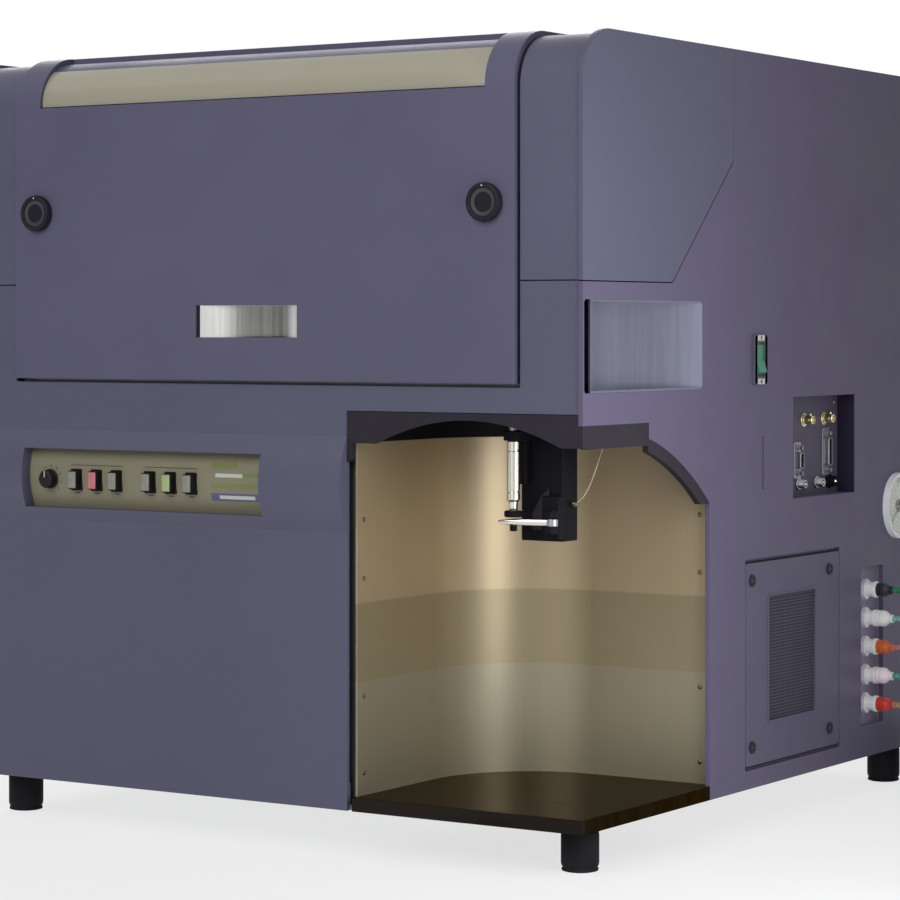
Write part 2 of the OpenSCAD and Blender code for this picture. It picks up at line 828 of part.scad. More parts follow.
// Push button with a stepped cap and a flange that keeps it in
module push_button(a) {
    x = fx(a);
    y = face_y - button_out;
    color(silver) {
        block(x - button_w / 2 + 1, x + button_w / 2 - 1, y, y + 1, row_z - button_h / 2 + 1,
            row_z + button_h / 2 - 1);
        block(x - button_w / 2, x + button_w / 2, y + 1, face_y + 7, row_z - button_h / 2,
            row_z + button_h / 2);
        block(x - button_w / 2 - 1, x + button_w / 2 + 1, face_y + 4.2, face_y + 5.7,
            row_z - button_h / 2 - 1, row_z + button_h / 2 + 1);
    }
}

module run_button() { push_button(button_places[0]); }
module standby_button() { push_button(button_places[1]); }
module prime_button() { push_button(button_places[2]); }
module low_flow_button() { push_button(button_places[3]); }
module medium_flow_button() { push_button(button_places[4]); }
module high_flow_button() { push_button(button_places[5]); }

// ---- Sample bay ----

module bay_liner() {
    color(beige) along_z(floor_top, liner_top) intersection() {
        difference() {
            bay_plan(liner_t, 0);
            bay_plan(0, 1);
        }
        rect(-xr, xin, yf + fascia_t + 0.5, yb);
    }
}

module bay_floor() {
    color(black) difference() {
        along_z(foot_h, floor_top) bay_plan(liner_t, 0);
        block(xin, xr + 1, fy(side_cut_d), yb, foot_h - 1, floor_top + 1);
        // small radius on the near corner
        difference() {
            block(xr - 4, xr + 1, yf - 1, yf + 4, foot_h - 1, floor_top + 1);
            translate([xr - 4, yf + 4, foot_h - 2]) cylinder(h = floor_t + 4, r = 4);
        }
    }
}

module bay_ceiling() {
    color(black) difference() {
        intersection() {
            along_z(liner_top, ceiling_z + ceiling_t) bay_plan(liner_t, 0);
            block(-xr, xin, yf + fascia_t + 0.5, yb, liner_top - 1, ceiling_z + ceiling_t + 1);
        }
        along_z(liner_top - 1, ceiling_z) bay_plan(0, 1);
    }
}

arch_r = (arch_half * arch_half + arch_rise * arch_rise) / (2 * arch_rise);

module front_fascia() {
    jamb0 = fx(bay_w + jamb_w);
    color(black) along_y(yf + 0.5, yf + 0.5 + fascia_t) difference() {
        union() {
            rect(jamb0, xin, liner_top, fascia_top);
            rect(xin, xr - 0.5, liner_top, side_cut_top);
            rect(jamb0, fx(bay_w + liner_t), foot_h, fascia_top);
        }
        translate([fx(arch_a), liner_top + arch_rise - arch_r]) circle(arch_r, $fn = 128);
    }
}

module side_fascia() {
    y0 = yf + 0.5 + fascia_t;
    cy = fy(side_cut_b);
    color(black) along_x(xr - 0.5 - fascia_t, xr - 0.5) {
        rect(y0, cy, side_cut_top - side_strip_h, side_cut_top);
        intersection() {
            translate([fy(side_arc_b), side_arc_z]) difference() {
                circle(side_cut_r, $fn = 256);
                circle(side_cut_r - side_trim_w, $fn = 256);
            }
            rect(cy - 1, fy(side_cut_d), side_arc_end, side_cut_top);
        }
    }
}

// ---- Sample injection ----

lug_t = 7;
hub_r = 5.5;
arm_pin_r = 2.5;
needle_x = fx(needle_a);
needle_y = fy(needle_b);
arm_x = fx(arm_a);
arm_y = fy(arm_b);
neck_r = 4;
sleeve_top = sleeve_z + sleeve_len;

module injection_block() {
    x0 = fx(block_a + block_w);
    x1 = fx(block_a);
    y0 = fy(block_b);
    color(black) {
        difference() {
            union() {
                block(x0, x1, y0, y0 + block_d, block_z, ceiling_z);
                block(x0, x0 + 8, y0 - 6, y0, arm_z + 30, ceiling_z);
                block(arm_x - 16, arm_x + 2, y0 - 8, y0, block_z + 2, arm_z + 20);
                // bracket that holds the sleeve's neck
                block(needle_x - 7, needle_x + 9, needle_y - 7, y0, sleeve_top, sleeve_top + 9);
            }
            translate([needle_x, needle_y, sleeve_top - 1]) cylinder(h = 12, r = neck_r + run_gap);
            block(x1 - 14, x1 - 11, y0 - 1, y0 + 2, block_z - 1, arm_z - arm_t - lug_t - 2);
        }
        // lugs and pin that carry the support arm
        for (z = [arm_z + clear, arm_z - arm_t - clear - lug_t])
            block(arm_x - hub_r, arm_x + 2, arm_y - hub_r, y0 - 8, z, z + lug_t);
        translate([arm_x, arm_y, arm_z - arm_t - clear - lug_t])
            cylinder(h = arm_t + 2 * lug_t + 2 * clear, r = arm_pin_r);
    }
}

disc_r = 8.5;
disc_t = 6;

module needle_assembly() {
    color(silver) translate([needle_x, needle_y, 0]) {
        translate([0, 0, sleeve_top]) cylinder(h = ceiling_z - sleeve_top, r = neck_r);
        translate([0, 0, sleeve_z]) cylinder(h = sleeve_len, r = sleeve_d / 2);
        translate([0, 0, arm_z + 1 + disc_t]) cylinder(h = sleeve_z - arm_z - 1 - disc_t, r = sleeve_d / 3);
        translate([0, 0, arm_z + 1]) cylinder(h = disc_t, r = disc_r);
    }
}

// The arm lies under the needle and swings to the front
module support_arm() {
    dx = needle_x - arm_x;
    dy = needle_y - arm_y;
    reach = norm([dx, dy]);
    color(silver) translate([arm_x, arm_y, 0]) rotate(atan2(dy, dx)) difference() {
        union() {
            translate([0, 0, arm_z - arm_t]) cylinder(h = arm_t, r = hub_r);
            along_z(arm_z - arm_t, arm_z)
                polygon([[0, -3.5], [arm_len - 12, -3.5], [arm_len, -1], [arm_len, 1],
                [arm_len - 12, 3.5], [0, 3.5]]);
            translate([reach, 0, arm_z - arm_t - 5]) cylinder(h = 6, r = 3.4);
        }
        translate([0, 0, arm_z - arm_t - 1]) cylinder(h = arm_t + 2, r = arm_pin_r + run_gap);
    }
}

// ---- Tubes swept along a route ----

function unit(v) = v / norm(v);
function heading(p, i) = unit(p[min(i + 1, len(p) - 1)] - p[max(i - 1, 0)]);
function across(t) = abs(t[2]) > 0.999 ? [1, 0, 0] : unit(cross(t, [0, 0, 1]));

module tube(route, r, sides = 8) {
    rings = len(route);
    points = [for (i = [0:rings - 1], k = [0:sides - 1])
        let (t = heading(route, i), s = across(t), u = cross(s, t), w = 360 * (k + 0.5) / sides)
        route[i] + r * (cos(w) * s + sin(w) * u)];
    walls = [for (i = [0:rings - 2], k = [0:sides - 1])
        let (n = (k + 1) % sides) [i * sides + k, i * sides + n, (i + 1) * sides + n, (i + 1) * sides + k]];
    ends = [[for (k = [sides - 1:-1:0]) k], [for (k = [0:sides - 1]) (rings - 1) * sides + k]];
    polyhedron(points = points, faces = concat(walls, ends));
}

// Clear line from the injection block up to the ceiling of the bay
line_r = 1.1;
line_route = [[62, 84, 330], [56, 84, 331], [50, 86, 337], [45, 89, 347], [41, 92, 360], [38, 96, 374],
    [35, 100, 388], [34, 103, 400], [34, 104, 410]];

module sample_line() {
    route = [for (p = line_route) [fx(p[0]), fy(p[1]), p[2]]];
    color("white") tube(concat(route, [[fx(34), fy(104), ceiling_z]]), line_r);
}

// ---- Right side ----

scoop_gap = 12;
scoop_corner = 4;
scoop_y0 = fy(scoop_b0 + scoop_gap);
scoop_y1 = fy(scoop_b1);
scoop_half = (scoop_y1 - scoop_y0) / 2;
scoop_r = (scoop_half * scoop_half + scoop_sag * scoop_sag) / (2 * scoop_sag);

// Concave plate with a roof and a sill, and a closed finger slot at its front
module grip_scoop() {
    face = xr - 0.5;
    cx = face - scoop_sag + scoop_r;
    cy = (scoop_y0 + scoop_y1) / 2;
    color(zinc) intersection() {
        union() {
            along_z(scoop_z0, scoop_z1) intersection() {
                translate([cx, cy]) difference() {
                    circle(scoop_r + scoop_wall, $fn = 128);
                    circle(scoop_r, $fn = 128);
                }
                rect(face - scoop_sag - scoop_wall - 1, face, scoop_y0, scoop_y1);
            }
            for (z = [scoop_z0, scoop_z1 - scoop_wall]) along_z(z, z + scoop_wall) intersection() {
                translate([cx, cy]) circle(scoop_r + scoop_wall / 2, $fn = 128);
                rect(face - scoop_sag - scoop_wall - 1, face, scoop_y0, scoop_y1);
            }
            block(xin - 6, xin - 4, inner_y, scoop_y0 + 16, scoop_z0, scoop_z1);
        }
        along_x(xin - scoop_sag - 9, xr) round_rect(fy(scoop_b0), scoop_y1, scoop_z0, scoop_z1,
            scoop_corner);
    }
}

switch_depth = 22;
rocker_y = 8;
rocker_z = 14.5;
rocker_tilt = -8;
rocker_axis = xr - 6;
rocker_pin = 1.5;

module switch_bezel() {
    y = fy(switch_b);
    color(black) difference() {
        union() {
            along_x(xr, xr + 2.5) round_rect(y - switch_w / 2, y + switch_w / 2,
                switch_z - switch_h / 2, switch_z + switch_h / 2, 3);
            block(xr - switch_depth, xr, y - rocker_y - 3, y + rocker_y + 3, switch_z - rocker_z - 6,
                switch_z + rocker_z + 6);
        }
        block(xr - switch_depth + 2, xr + 3, y - rocker_y - clear, y + rocker_y + clear,
            switch_z - rocker_z - 2.2, switch_z + rocker_z + 2.2);
        translate([rocker_axis, y - rocker_y - 1.5, switch_z]) rotate([-90, 0, 0])
            cylinder(h = 2 * rocker_y + 3, r = rocker_pin + run_gap);
    }
}

module power_rocker() {
    y = fy(switch_b);
    color([0.1, 0.55, 0.35]) translate([rocker_axis, y, switch_z]) rotate([0, rocker_tilt, 0]) {
        along_y(-rocker_y, rocker_y)
            polygon([[7, 0], [9, rocker_z - 1], [7, rocker_z], [-3, rocker_z - 1], [-8, 4],
            [-8, -4], [-3, 1 - rocker_z], [7, -rocker_z], [9, 1 - rocker_z]]);
        rod_y(0, 0, -rocker_y - 1.2, rocker_y + 1.2, rocker_pin);
    }
}

// Open box behind a cut-out of the right side panel
module side_tray(b0, b1, z0, z1, depth) {
    difference() {
        block(xr - depth - tray_wall, xin, fy(b0) - tray_wall, fy(b1) + tray_wall, z0 - tray_wall,
            z1 + tray_wall);
        block(xr - depth, xin + 1, fy(b0), fy(b1), z0, z1);
    }
}

module connector_tray() {
    color(black) side_tray(sockets_b0, sockets_b1, sockets_z0, sockets_z1, sockets_d);
}

// Places of the connectors, from the recess's front lower corner
coax_places = [[63, 77], [110, 77.5]];
port_places = [[48, 36, 26], [114, 43, 38]];
jack_places = [[51, 12, 4.5], [93, 12, 4.5], [122, 12, 5.5]];

module side_connectors() {
    floor_x = xr - sockets_d;
    y0 = fy(sockets_b0);
    color([0.75, 0.62, 0.3]) for (p = coax_places) {
        rod_x(y0 + p[0], sockets_z0 + p[1], floor_x, floor_x + 12, 4.8);
        rod_x(y0 + p[0], sockets_z0 + p[1], floor_x, floor_x + 3, 7);
        rod_x(y0 + p[0], sockets_z0 + p[1], floor_x + 12, floor_x + 13, 3);
    }
    color(silver) for (p = port_places) difference() {
        union() {
            along_x(floor_x, floor_x + 1.5) round_rect(y0 + p[0] - 8, y0 + p[0] + 8,
                sockets_z0 + p[1] - p[2] / 2 - 2, sockets_z0 + p[1] + p[2] / 2 + 2, 2);
            along_x(floor_x, floor_x + 7) round_rect(y0 + p[0] - 4.5, y0 + p[0] + 4.5,
                sockets_z0 + p[1] - p[2] / 2 + 5, sockets_z0 + p[1] + p[2] / 2 - 5, 2);
            for (s = [-1, 1]) rod_x(y0 + p[0], sockets_z0 + p[1] + s * p[2] / 2, floor_x, floor_x + 8, 2.6);
        }
        along_x(floor_x + 5, floor_x + 8) round_rect(y0 + p[0] - 3.5, y0 + p[0] + 3.5,
            sockets_z0 + p[1] - p[2] / 2 + 6, sockets_z0 + p[1] + p[2] / 2 - 6, 2);
    }
    color(silver) for (p = jack_places) difference() {
        union() {
            rod_x(y0 + p[0], sockets_z0 + p[1], floor_x, floor_x + 9, p[2]);
            rod_x(y0 + p[0], sockets_z0 + p[1], floor_x, floor_x + 2.5, p[2] + 2);
        }
        rod_x(y0 + p[0], sockets_z0 + p[1], floor_x + 3, floor_x + 10, p[2] / 2);
    }
}

grille_b0 = 364;
grille_b1 = 469;
grille_z0 = 104;
grille_z1 = 227;
cover_t = 3;
cover_x0 = xr - vent_recess + clear;
fastener_b = [13, 186];
fastener_z = [18, 181];
fastener_r = 6;
stud_r = 3;

module intake_cover() {
    color(slate_side) along_x(cover_x0, cover_x0 + cover_t) difference() {
        round_rect(fy(vent_b0), fy(vent_b1), vent_z0, vent_z1, 3);
        rect(fy(grille_b0), fy(grille_b1), grille_z0, grille_z1);
        for (b = fastener_b, z = fastener_z) translate([fy(vent_b0 + b), vent_z0 + z]) circle(stud_r);
    }
}

mesh_columns = 13;
mesh_rows = 15;
mesh_bar = 1.6;

module intake_grille() {
    pitch_y = (grille_b1 - grille_b0 - mesh_bar) / mesh_columns;
    pitch_z = (grille_z1 - grille_z0 - mesh_bar) / mesh_rows;
    color(black) along_x(cover_x0 + 0.8, cover_x0 + 2) difference() {
        rect(fy(grille_b0), fy(grille_b1), grille_z0, grille_z1);
        for (i = [0:mesh_columns - 1], j = [0:mesh_rows - 1])
            translate([fy(grille_b0) + mesh_bar + i * pitch_y, grille_z0 + mesh_bar + j * pitch_z])
                square([pitch_y - mesh_bar, pitch_z - mesh_bar]);
    }
}

module intake_filter() {
    color([0.2, 0.2, 0.22])
        block(xin - 10, xin, fy(grille_b0) - 12, fy(grille_b1) + 12, grille_z0 - 12, grille_z1 + 12);
}

module intake_fasteners() {
    color(zinc) for (b = fastener_b, z = fastener_z) difference() {
        union() {
            rod_x(fy(vent_b0 + b), vent_z0 + z, cover_x0 + cover_t, cover_x0 + cover_t + 2, fastener_r);
            rod_x(fy(vent_b0 + b), vent_z0 + z, xin - 4, cover_x0 + cover_t, stud_r);
        }
        block(cover_x0 + cover_t + 1, cover_x0 + cover_t + 3, fy(vent_b0 + b) - fastener_r,
            fy(vent_b0 + b) + fastener_r,
            vent_z0 + z - 0.8, vent_z0 + z + 0.8);
    }
}

gauge_rim = 6;
gauge_cup = gauge_d / 2 - 6;
gauge_face = xr + 1;
needle_pin = 1;

module gauge_case() {
    y = gauge_y;
    color([0.9, 0.92, 0.9]) difference() {
        union() {
            rod_x(y, gauge_z, xr, xr + gauge_rim, gauge_d / 2);
            rod_x(y, gauge_z, xr - 20, xr, gauge_cup);
            rod_x(y, gauge_z, xr - 34, xr - 20, 6);
        }
        rod_x(y, gauge_z, gauge_face, xr + gauge_rim + 1, gauge_d / 2 - 4);
        rod_x(y, gauge_z, gauge_face - 5, gauge_face + 1, needle_pin + run_gap);
    }
}

gauge_rest = 225;

module gauge_needle() {
    color(black) translate([0, gauge_y, gauge_z]) {
        rod_x(0, 0, gauge_face - 4, gauge_face + 2, needle_pin);
        rod_x(0, 0, gauge_face + 1, gauge_face + 3, 4);
        rotate([gauge_rest, 0, 0]) along_x(gauge_face + 1.5, gauge_face + 2.3)
            polygon([[-8, -1.2], [-8, 1.2], [24, 0.3], [24, -0.3]]);
    }
}

tray_depth = 8;
socket_back = 22;
barrel_r = 7.5;
plug_x0 = xr + 4;
plug_x1 = xr + 26;
tube_r = 3.2;

function tube_height(i) = tube_z - i * tube_pitch;

module coupling_tray() {
    color([0.5, 0.52, 0.55]) difference() {
        side_tray(tray_b0, tray_b1, tray_z0, tray_z1, tray_depth);
        for (i = [0:tube_n - 1]) rod_x(fy(tube_b), tube_height(i), xr - socket_back, xr, barrel_r);
    }
}

module bulkhead_sockets() {
    color(silver) for (i = [0:tube_n - 1]) difference() {
        union() {
            rod_x(fy(tube_b), tube_height(i), xr - socket_back, plug_x0, barrel_r);
            translate([xr - tray_depth, fy(tube_b), tube_height(i)]) rotate([0, 90, 0])
                cylinder(h = 5, r = 11, $fn = 6);
        }
        rod_x(fy(tube_b), tube_height(i), xr - socket_back - 1, plug_x0 + 1, 3);
    }
}

// Plug halves with a release collar on the near ends of the tubes, and push-in fittings on their far
// ends, which lie inside the coils
module tube_couplings() {
    color([0.9, 0.9, 0.9]) for (i = [0:tube_n - 1]) {
        difference() {
            union() {
                rod_x(fy(tube_b), tube_height(i), plug_x0, plug_x1, 5);
                rod_x(fy(tube_b), tube_height(i), plug_x0, plug_x0 + 9, 9);
                rod_x(fy(tube_b), tube_height(i), plug_x0 + 9, plug_x0 + 16, 7);
            }
            rod_x(fy(tube_b), tube_height(i), plug_x0 - 1, plug_x1 + 1, 2);
        }
        rod_x(fy(coil_b) + coil_bend, coil_z(i) + coil_h / 2, xr + coil_out - 6, xr + coil_out + 21.5, 4.5);
        rod_x(fy(coil_b) + coil_bend, coil_z(i) + coil_h / 2, xr + coil_out - 6, xr + coil_out + 2, 6);
    }
}

// ---- Inside ----

module optical_bench() {
    color(zinc) along_z(bench_z0, bench_z) round_rect(-bench_x, bench_x, bench_y0, bench_y1, 10);
}

laser_w = 62;
laser_l = 210;
laser_h = 64;
laser_pitch = 96;
laser_y = 70;
laser_x0 = -300;
fin_n = 8;

module laser_modules() {
    color(black) for (i = [0:laser_n - 1]) {
        x = laser_x0 + i * laser_pitch;
        for (y = [laser_y + 20, laser_y + laser_l - 40])
            block(x + 6, x + laser_w - 6, y, y + 20, bench_z, bench_z + 8);
        difference() {
            block(x, x + laser_w, laser_y, laser_y + laser_l, bench_z + 8, bench_z + 8 + laser_h);
            for (k = [0:fin_n - 1])
                block(x + 4 + k * 7, x + 7.5 + k * 7, laser_y + 50, laser_y + laser_l + 1,
                bench_z + laser_h - 10, bench_z + laser_h + 9);
        }
        rod_y(x + laser_w / 2, bench_z + 8 + laser_h / 2, laser_y - 10, laser_y, 9);
    }
}

array_z = bench_z + 30;
array_h = 34;
pmt_r = 12;
pmt_len = 42;

// Ring of detectors round a many-sided block on a pillar: a block radius, sides and the detectors fitted
module detector_ring(x, y, r, sides, fitted) {
    flat = r * cos(180 / sides);
    translate([x, y, 0]) {
        translate([0, 0, bench_z]) cylinder(h = 6, r = 26);
        translate([0, 0, bench_z]) cylinder(h = array_z - bench_z, r = 14);
        difference() {
            translate([0, 0, array_z]) rotate(180 / sides) cylinder(h = array_h, r = r, $fn = sides);
            translate([0, 0, array_z + array_h - 6]) cylinder(h = 7, r = r * 0.55);
        }
        for (i = [0:fitted - 1]) rotate(i * 360 / sides) {
            translate([flat - 1, 0, array_z + array_h / 2]) rotate([0, 90, 0]) {
                cylinder(h = 7, r = pmt_r + 3);
                cylinder(h = pmt_len, r = pmt_r);
                translate([0, 0, pmt_len]) cylinder(h = 6, r = 5);
            }
            block(flat - 12, flat - 6, -11, 11, array_z + array_h - 1, array_z + array_h + 16);
        }
    }
}

// Each array's place along X, block radius, sides and number of detectors
arrays = [[-232, 58, 8, 8], [-20, 58, 8, 6], [150, 42, 6, 3]];
array_y = bench_y0 + 127;

module detector_arrays() {
    color([0.12, 0.12, 0.13]) for (a = arrays) detector_ring(a[0], array_y, a[1], a[2], a[3]);
}

module flow_cell() {
    color(silver) translate([needle_x, bench_y0 + 34, bench_z]) {
        block(-30, 30, -26, 26, 0, 8);
        difference() {
            block(-18, 18, -18, 18, 8, 58);
            block(-6, 6, -19, 19, 30, 52);
        }
        block(-4, 4, -4, 4, 30, 52);
        rod_x(0, 40, -48, -18, 13);
        rod_y(0, 40, 18, 40, 9);
    }
}

cage_x = -320;
cage_w = 190;
cage_y = -140;
cage_l = 280;
cage_h = 210;
supply_h = 92;

module electronics_modules() {
    // card cage with its boards
    color(zinc) difference() {
        block(cage_x, cage_x + cage_w, cage_y, cage_y + cage_l, pan_top, pan_top + cage_h);
        block(cage_x + 2, cage_x + cage_w - 2, cage_y - 1, cage_y + cage_l - 2, pan_top + 2,
            pan_top + cage_h + 1);
    }
    color([0.05, 0.3, 0.15]) for (i = [0:card_n - 1]) {
        x = cage_x + 16 + i * (cage_w - 30) / card_n;
        block(x, x + 1.6, cage_y + 6, cage_y + cage_l - 2, pan_top + 2, pan_top + cage_h - 8);
        for (y = [30:60:cage_l - 60])
            block(x + 1.6, x + 5, cage_y + y, cage_y + y + 24, pan_top + 60, pan_top + 84);
    }
    // power supply
    color(silver) difference() {
        block(-90, 80, 130, 330, pan_top, pan_top + supply_h);
        for (i = [0:9]) block(-91, -85, 150 + i * 14, 157 + i * 14, pan_top + 20, pan_top + 70);
    }
    // board with the switches and the potentiometer behind the control strip
    color([0.05, 0.3, 0.15])
        block(fx(strip_a1) - strip_wall, fx(strip_a0) + strip_wall, board_y, board_y + 1.6,
        strip_z0 - strip_wall, strip_z1 + strip_wall);
    color(black) {
        for (a = button_places)
            block(fx(a) - 4, fx(a) + 4, face_y + 7 + button_travel + clear, board_y, row_z - 4, row_z + 4);
        rod_y(fx(knob_a), row_z, face_y + 8 + clear, board_y, 8);
    }
}

capsule_r = 32;
manifold_t = 40;

module fluidics_module() {
    back = xr - socket_back;
    // manifold behind the couplings, on a foot
    color([0.8, 0.82, 0.84]) difference() {
        block(back - manifold_t, back, fy(tube_b) - 24, fy(tube_b) + 24, tube_height(tube_n - 1) - 18,
            tube_z + 18);
        for (i = [0:tube_n - 1]) rod_x(fy(tube_b), tube_height(i), back - manifold_t + 8, back + 1, 3);
    }
    color(zinc) block(back - manifold_t, back, fy(tube_b) - 24, fy(tube_b) + 24, pan_top,
        tube_height(tube_n - 1) - 18);
    // valves on the manifold
    color(black) for (i = [0:tube_n - 1])
        rod_x(fy(tube_b), tube_height(i), back - manifold_t - 34, back - manifold_t, 11);
    // sheath filter capsule
    color("white") translate([200, 20, pan_top]) rotate_extrude() {
        rect(0, capsule_r + 4, 0, 12);
        rect(0, capsule_r, 12, 130);
        rect(0, capsule_r - 10, 130, 142);
        rect(0, 6, 142, 160);
    }
    // vacuum and pressure pump with its motor
    color(zinc) {
        block(130, 210, 120, 190, pan_top, pan_top + 70);
        rod_y(170, pan_top + 40, 190, 290, 30);
        block(150, 190, 200, 280, pan_top, pan_top + 14);
    }
}

fan_depth = 25;
fan_hub = 19;
fan_shaft = 2;

module fan_frame() {
    y0 = rear_y - fan_depth;
    color(black) {
        along_y(y0, rear_y) difference() {
            translate([fan_x, fan_z]) round_rect(-fan_d / 2, fan_d / 2, -fan_d / 2, fan_d / 2, 6);
            translate([fan_x, fan_z]) circle(fan_d / 2 - 3);
            for (x = [-1, 1], z = [-1, 1])
                translate([fan_x + x * (fan_d / 2 - 8), fan_z + z * (fan_d / 2 - 8)]) circle(2.2);
        }
        translate([fan_x, 0, fan_z]) for (t = [0, 120, 240]) rotate([0, t + 20, 0])
            block(0, fan_d / 2 - 2, rear_y - 5, rear_y - 1, -2.5, 2.5);
        rod_y(fan_x, fan_z, rear_y - 6, rear_y, fan_hub);
        rod_y(fan_x, fan_z, y0 + 3, rear_y - 5, fan_shaft);
    }
}

module fan_rotor() {
    y0 = rear_y - fan_depth + 1;
    y1 = rear_y - 7;
    tip = fan_d / 2 - 5;
    color(black) difference() {
        union() {
            rod_y(fan_x, fan_z, y0, y1, fan_hub);
            intersection() {
                rod_y(fan_x, fan_z, y0, y1, tip);
                translate([fan_x, (y0 + y1) / 2, fan_z]) for (i = [0:blade_n - 1])
                    rotate([0, i * 360 / blade_n, 0])
                    rotate([38, 0, 0]) block(fan_hub - 3, tip + 4, -14, 14, -0.9, 0.9);
            }
        }
        rod_y(fan_x, fan_z, y0 - 1, y1 + 1, fan_shaft + run_gap);
    }
}

// ---- Fluid tubes ----

// Plan of the free stretch, as distances out from the side face and back from the couplings, and how
// far each point has come down from the coupling to the coil
lead = [[26, 0, 0], [38, 0, 0], [50, 0, 0.04], [61, 1, 0.11], [70, 3, 0.21], [78, 7, 0.33],
    [85, 12, 0.46], [91, 18, 0.59], [96, 26, 0.71], [100, 34, 0.81], [102, 43, 0.89], [103, 52, 0.95],
    [104, 62, 0.98], [104, 72, 1]];
coil_turn_r = 44;
coil_out = 104 - coil_turn_r;
coil_b = tube_b + 90;
coil_step = 13;
coil_w = 19.2;
coil_h = 12.6;
coil_inner = coil_turn_r + tube_r - coil_w;
coil_bend = 13;

function coil_z(i) = (tube_n - 1 - i) * coil_step;
function lead_route(i) = [for (p = lead)
    [xr + p[0], fy(tube_b + p[1]), tube_height(i) + (coil_z(i) + tube_r - tube_height(i)) * p[2]]];

module green_tube() { color([0.2, 0.65, 0.5]) tube(lead_route(0), tube_r); }
module white_tube() { color([0.85, 0.92, 0.9]) tube(lead_route(1), tube_r); }
module orange_tube() { color([0.85, 0.6, 0.55]) tube(lead_route(2), tube_r); }
module teal_tube() { color([0.4, 0.65, 0.65]) tube(lead_route(3), tube_r); }
module red_tube() { color([0.75, 0.6, 0.5]) tube(lead_route(4), tube_r); }

// Five flat coils that lie on each other
module tube_coils() {
    color([0.7, 0.8, 0.78]) for (i = [0:tube_n - 1]) translate([xr + coil_out, fy(coil_b), coil_z(i)])
        rotate_extrude() rect(coil_inner, coil_inner + coil_w, 0, coil_h);
}

// ---- Pieces drawn ----

base_pan();
feet();
chassis_frame();
lower_front_housing();
upper_front_cover();
top_panel();
right_side_panel();
left_side_panel();
rear_panel();
door_shell();
door_trim_strip();
door_pull();
door_hinges();
left_lock_knob();
right_lock_knob();
control_panel();
flow_knob();
run_button();
standby_button();
prime_button();
low_flow_button();
medium_flow_button();
high_flow_button();
bay_liner();
bay_floor();
bay_ceiling();
front_fascia();
side_fascia();
injection_block();
needle_assembly();
support_arm();
sample_line();
grip_scoop();
switch_bezel();
power_rocker();
connector_tray();
side_connectors();
intake_cover();
intake_grille();
intake_filter();
intake_fasteners();
gauge_case();
gauge_needle();
coupling_tray();
bulkhead_sockets();
tube_couplings();
optical_bench();
laser_modules();
detector_arrays();
flow_cell();
electronics_modules();
fluidics_module();
fan_frame();
fan_rotor();
green_tube();
white_tube();
orange_tube();
teal_tube();
red_tube();
tube_coils();
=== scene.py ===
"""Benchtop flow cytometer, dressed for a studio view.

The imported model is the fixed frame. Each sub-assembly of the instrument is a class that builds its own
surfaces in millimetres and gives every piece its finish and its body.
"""
import logging
from dataclasses import dataclass, field
from enum import Enum
from typing import Iterable, Sequence

import bmesh
import bpy
import numpy as np
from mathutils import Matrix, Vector


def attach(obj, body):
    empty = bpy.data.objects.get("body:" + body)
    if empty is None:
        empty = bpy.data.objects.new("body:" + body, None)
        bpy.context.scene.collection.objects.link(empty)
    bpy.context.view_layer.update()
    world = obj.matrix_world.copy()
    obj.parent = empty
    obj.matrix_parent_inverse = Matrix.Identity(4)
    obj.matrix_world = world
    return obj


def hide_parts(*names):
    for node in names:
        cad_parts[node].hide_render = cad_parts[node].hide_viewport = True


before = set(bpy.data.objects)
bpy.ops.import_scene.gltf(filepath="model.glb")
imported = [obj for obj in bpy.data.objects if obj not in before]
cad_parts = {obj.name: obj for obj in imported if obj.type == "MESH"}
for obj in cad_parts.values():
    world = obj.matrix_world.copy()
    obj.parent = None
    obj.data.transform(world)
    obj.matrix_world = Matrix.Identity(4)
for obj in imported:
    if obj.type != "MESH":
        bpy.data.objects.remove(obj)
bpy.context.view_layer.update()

LOG = logging.getLogger("cytometer")
MM = 0.001
Colour = tuple[int, int, int]


# ---- Sizes shared by several sub-assemblies, in millimetres ----


@dataclass(frozen=True)
class Plan:
    """The housing's main planes and places.

    a is measured to the left from the right side face, b is measured back from the front face.
    """

    right: float = 362.0
    front: float = -373.75
    depth: float = 760.0
    lid_top: float = 763.5
    door_face: float = -377.75
    band_axis_y: float = -304.5
    band_mid: float = 346.0
    strip_radius: float = 68.75
    ceiling: float = 410.5

    def x(self, a: float) -> float:
        """The X of a place a to the left of the right side."""
        return self.right - a

    def y(self, b: float) -> float:
        """The Y of a place b behind the front."""
        return self.front + b

    def at(self, place: tuple[float, float]) -> tuple[float, float]:
        """The X and Y of a place a to the left of the right side and b behind the front."""
        return self.x(place[0]), self.y(place[1])

    @property
    def rear(self) -> float:
        """The Y of the rear face."""
        return self.y(self.depth)


PLAN = Plan()


class Facing(Enum):
    """The way a flat fitting faces, with the directions of its width, its height and its outward side."""

    FRONT = ((1, 0, 0), (0, 0, 1), (0, -1, 0))
    RIGHT = ((0, 1, 0), (0, 0, 1), (1, 0, 0))
    UP = ((1, 0, 0), (0, 1, 0), (0, 0, 1))
    REAR = ((-1, 0, 0), (0, 0, 1), (0, 1, 0))

    @property
    def axes(self) -> np.ndarray:
        """The three directions as rows."""
        return np.array(self.value, float)


# ---- Surfaces ----


@dataclass
class Form:
    """A surface: its points in millimetres and its faces as tuples of point numbers."""

    points: np.ndarray
    faces: list[tuple[int, ...]]

    def __add__(self, other: "Form") -> "Form":
        """The two surfaces as one."""
        start = len(self.points)
        moved = [tuple(i + start for i in face) for face in other.faces]
        return Form(np.vstack([self.points, other.points]), self.faces + moved)


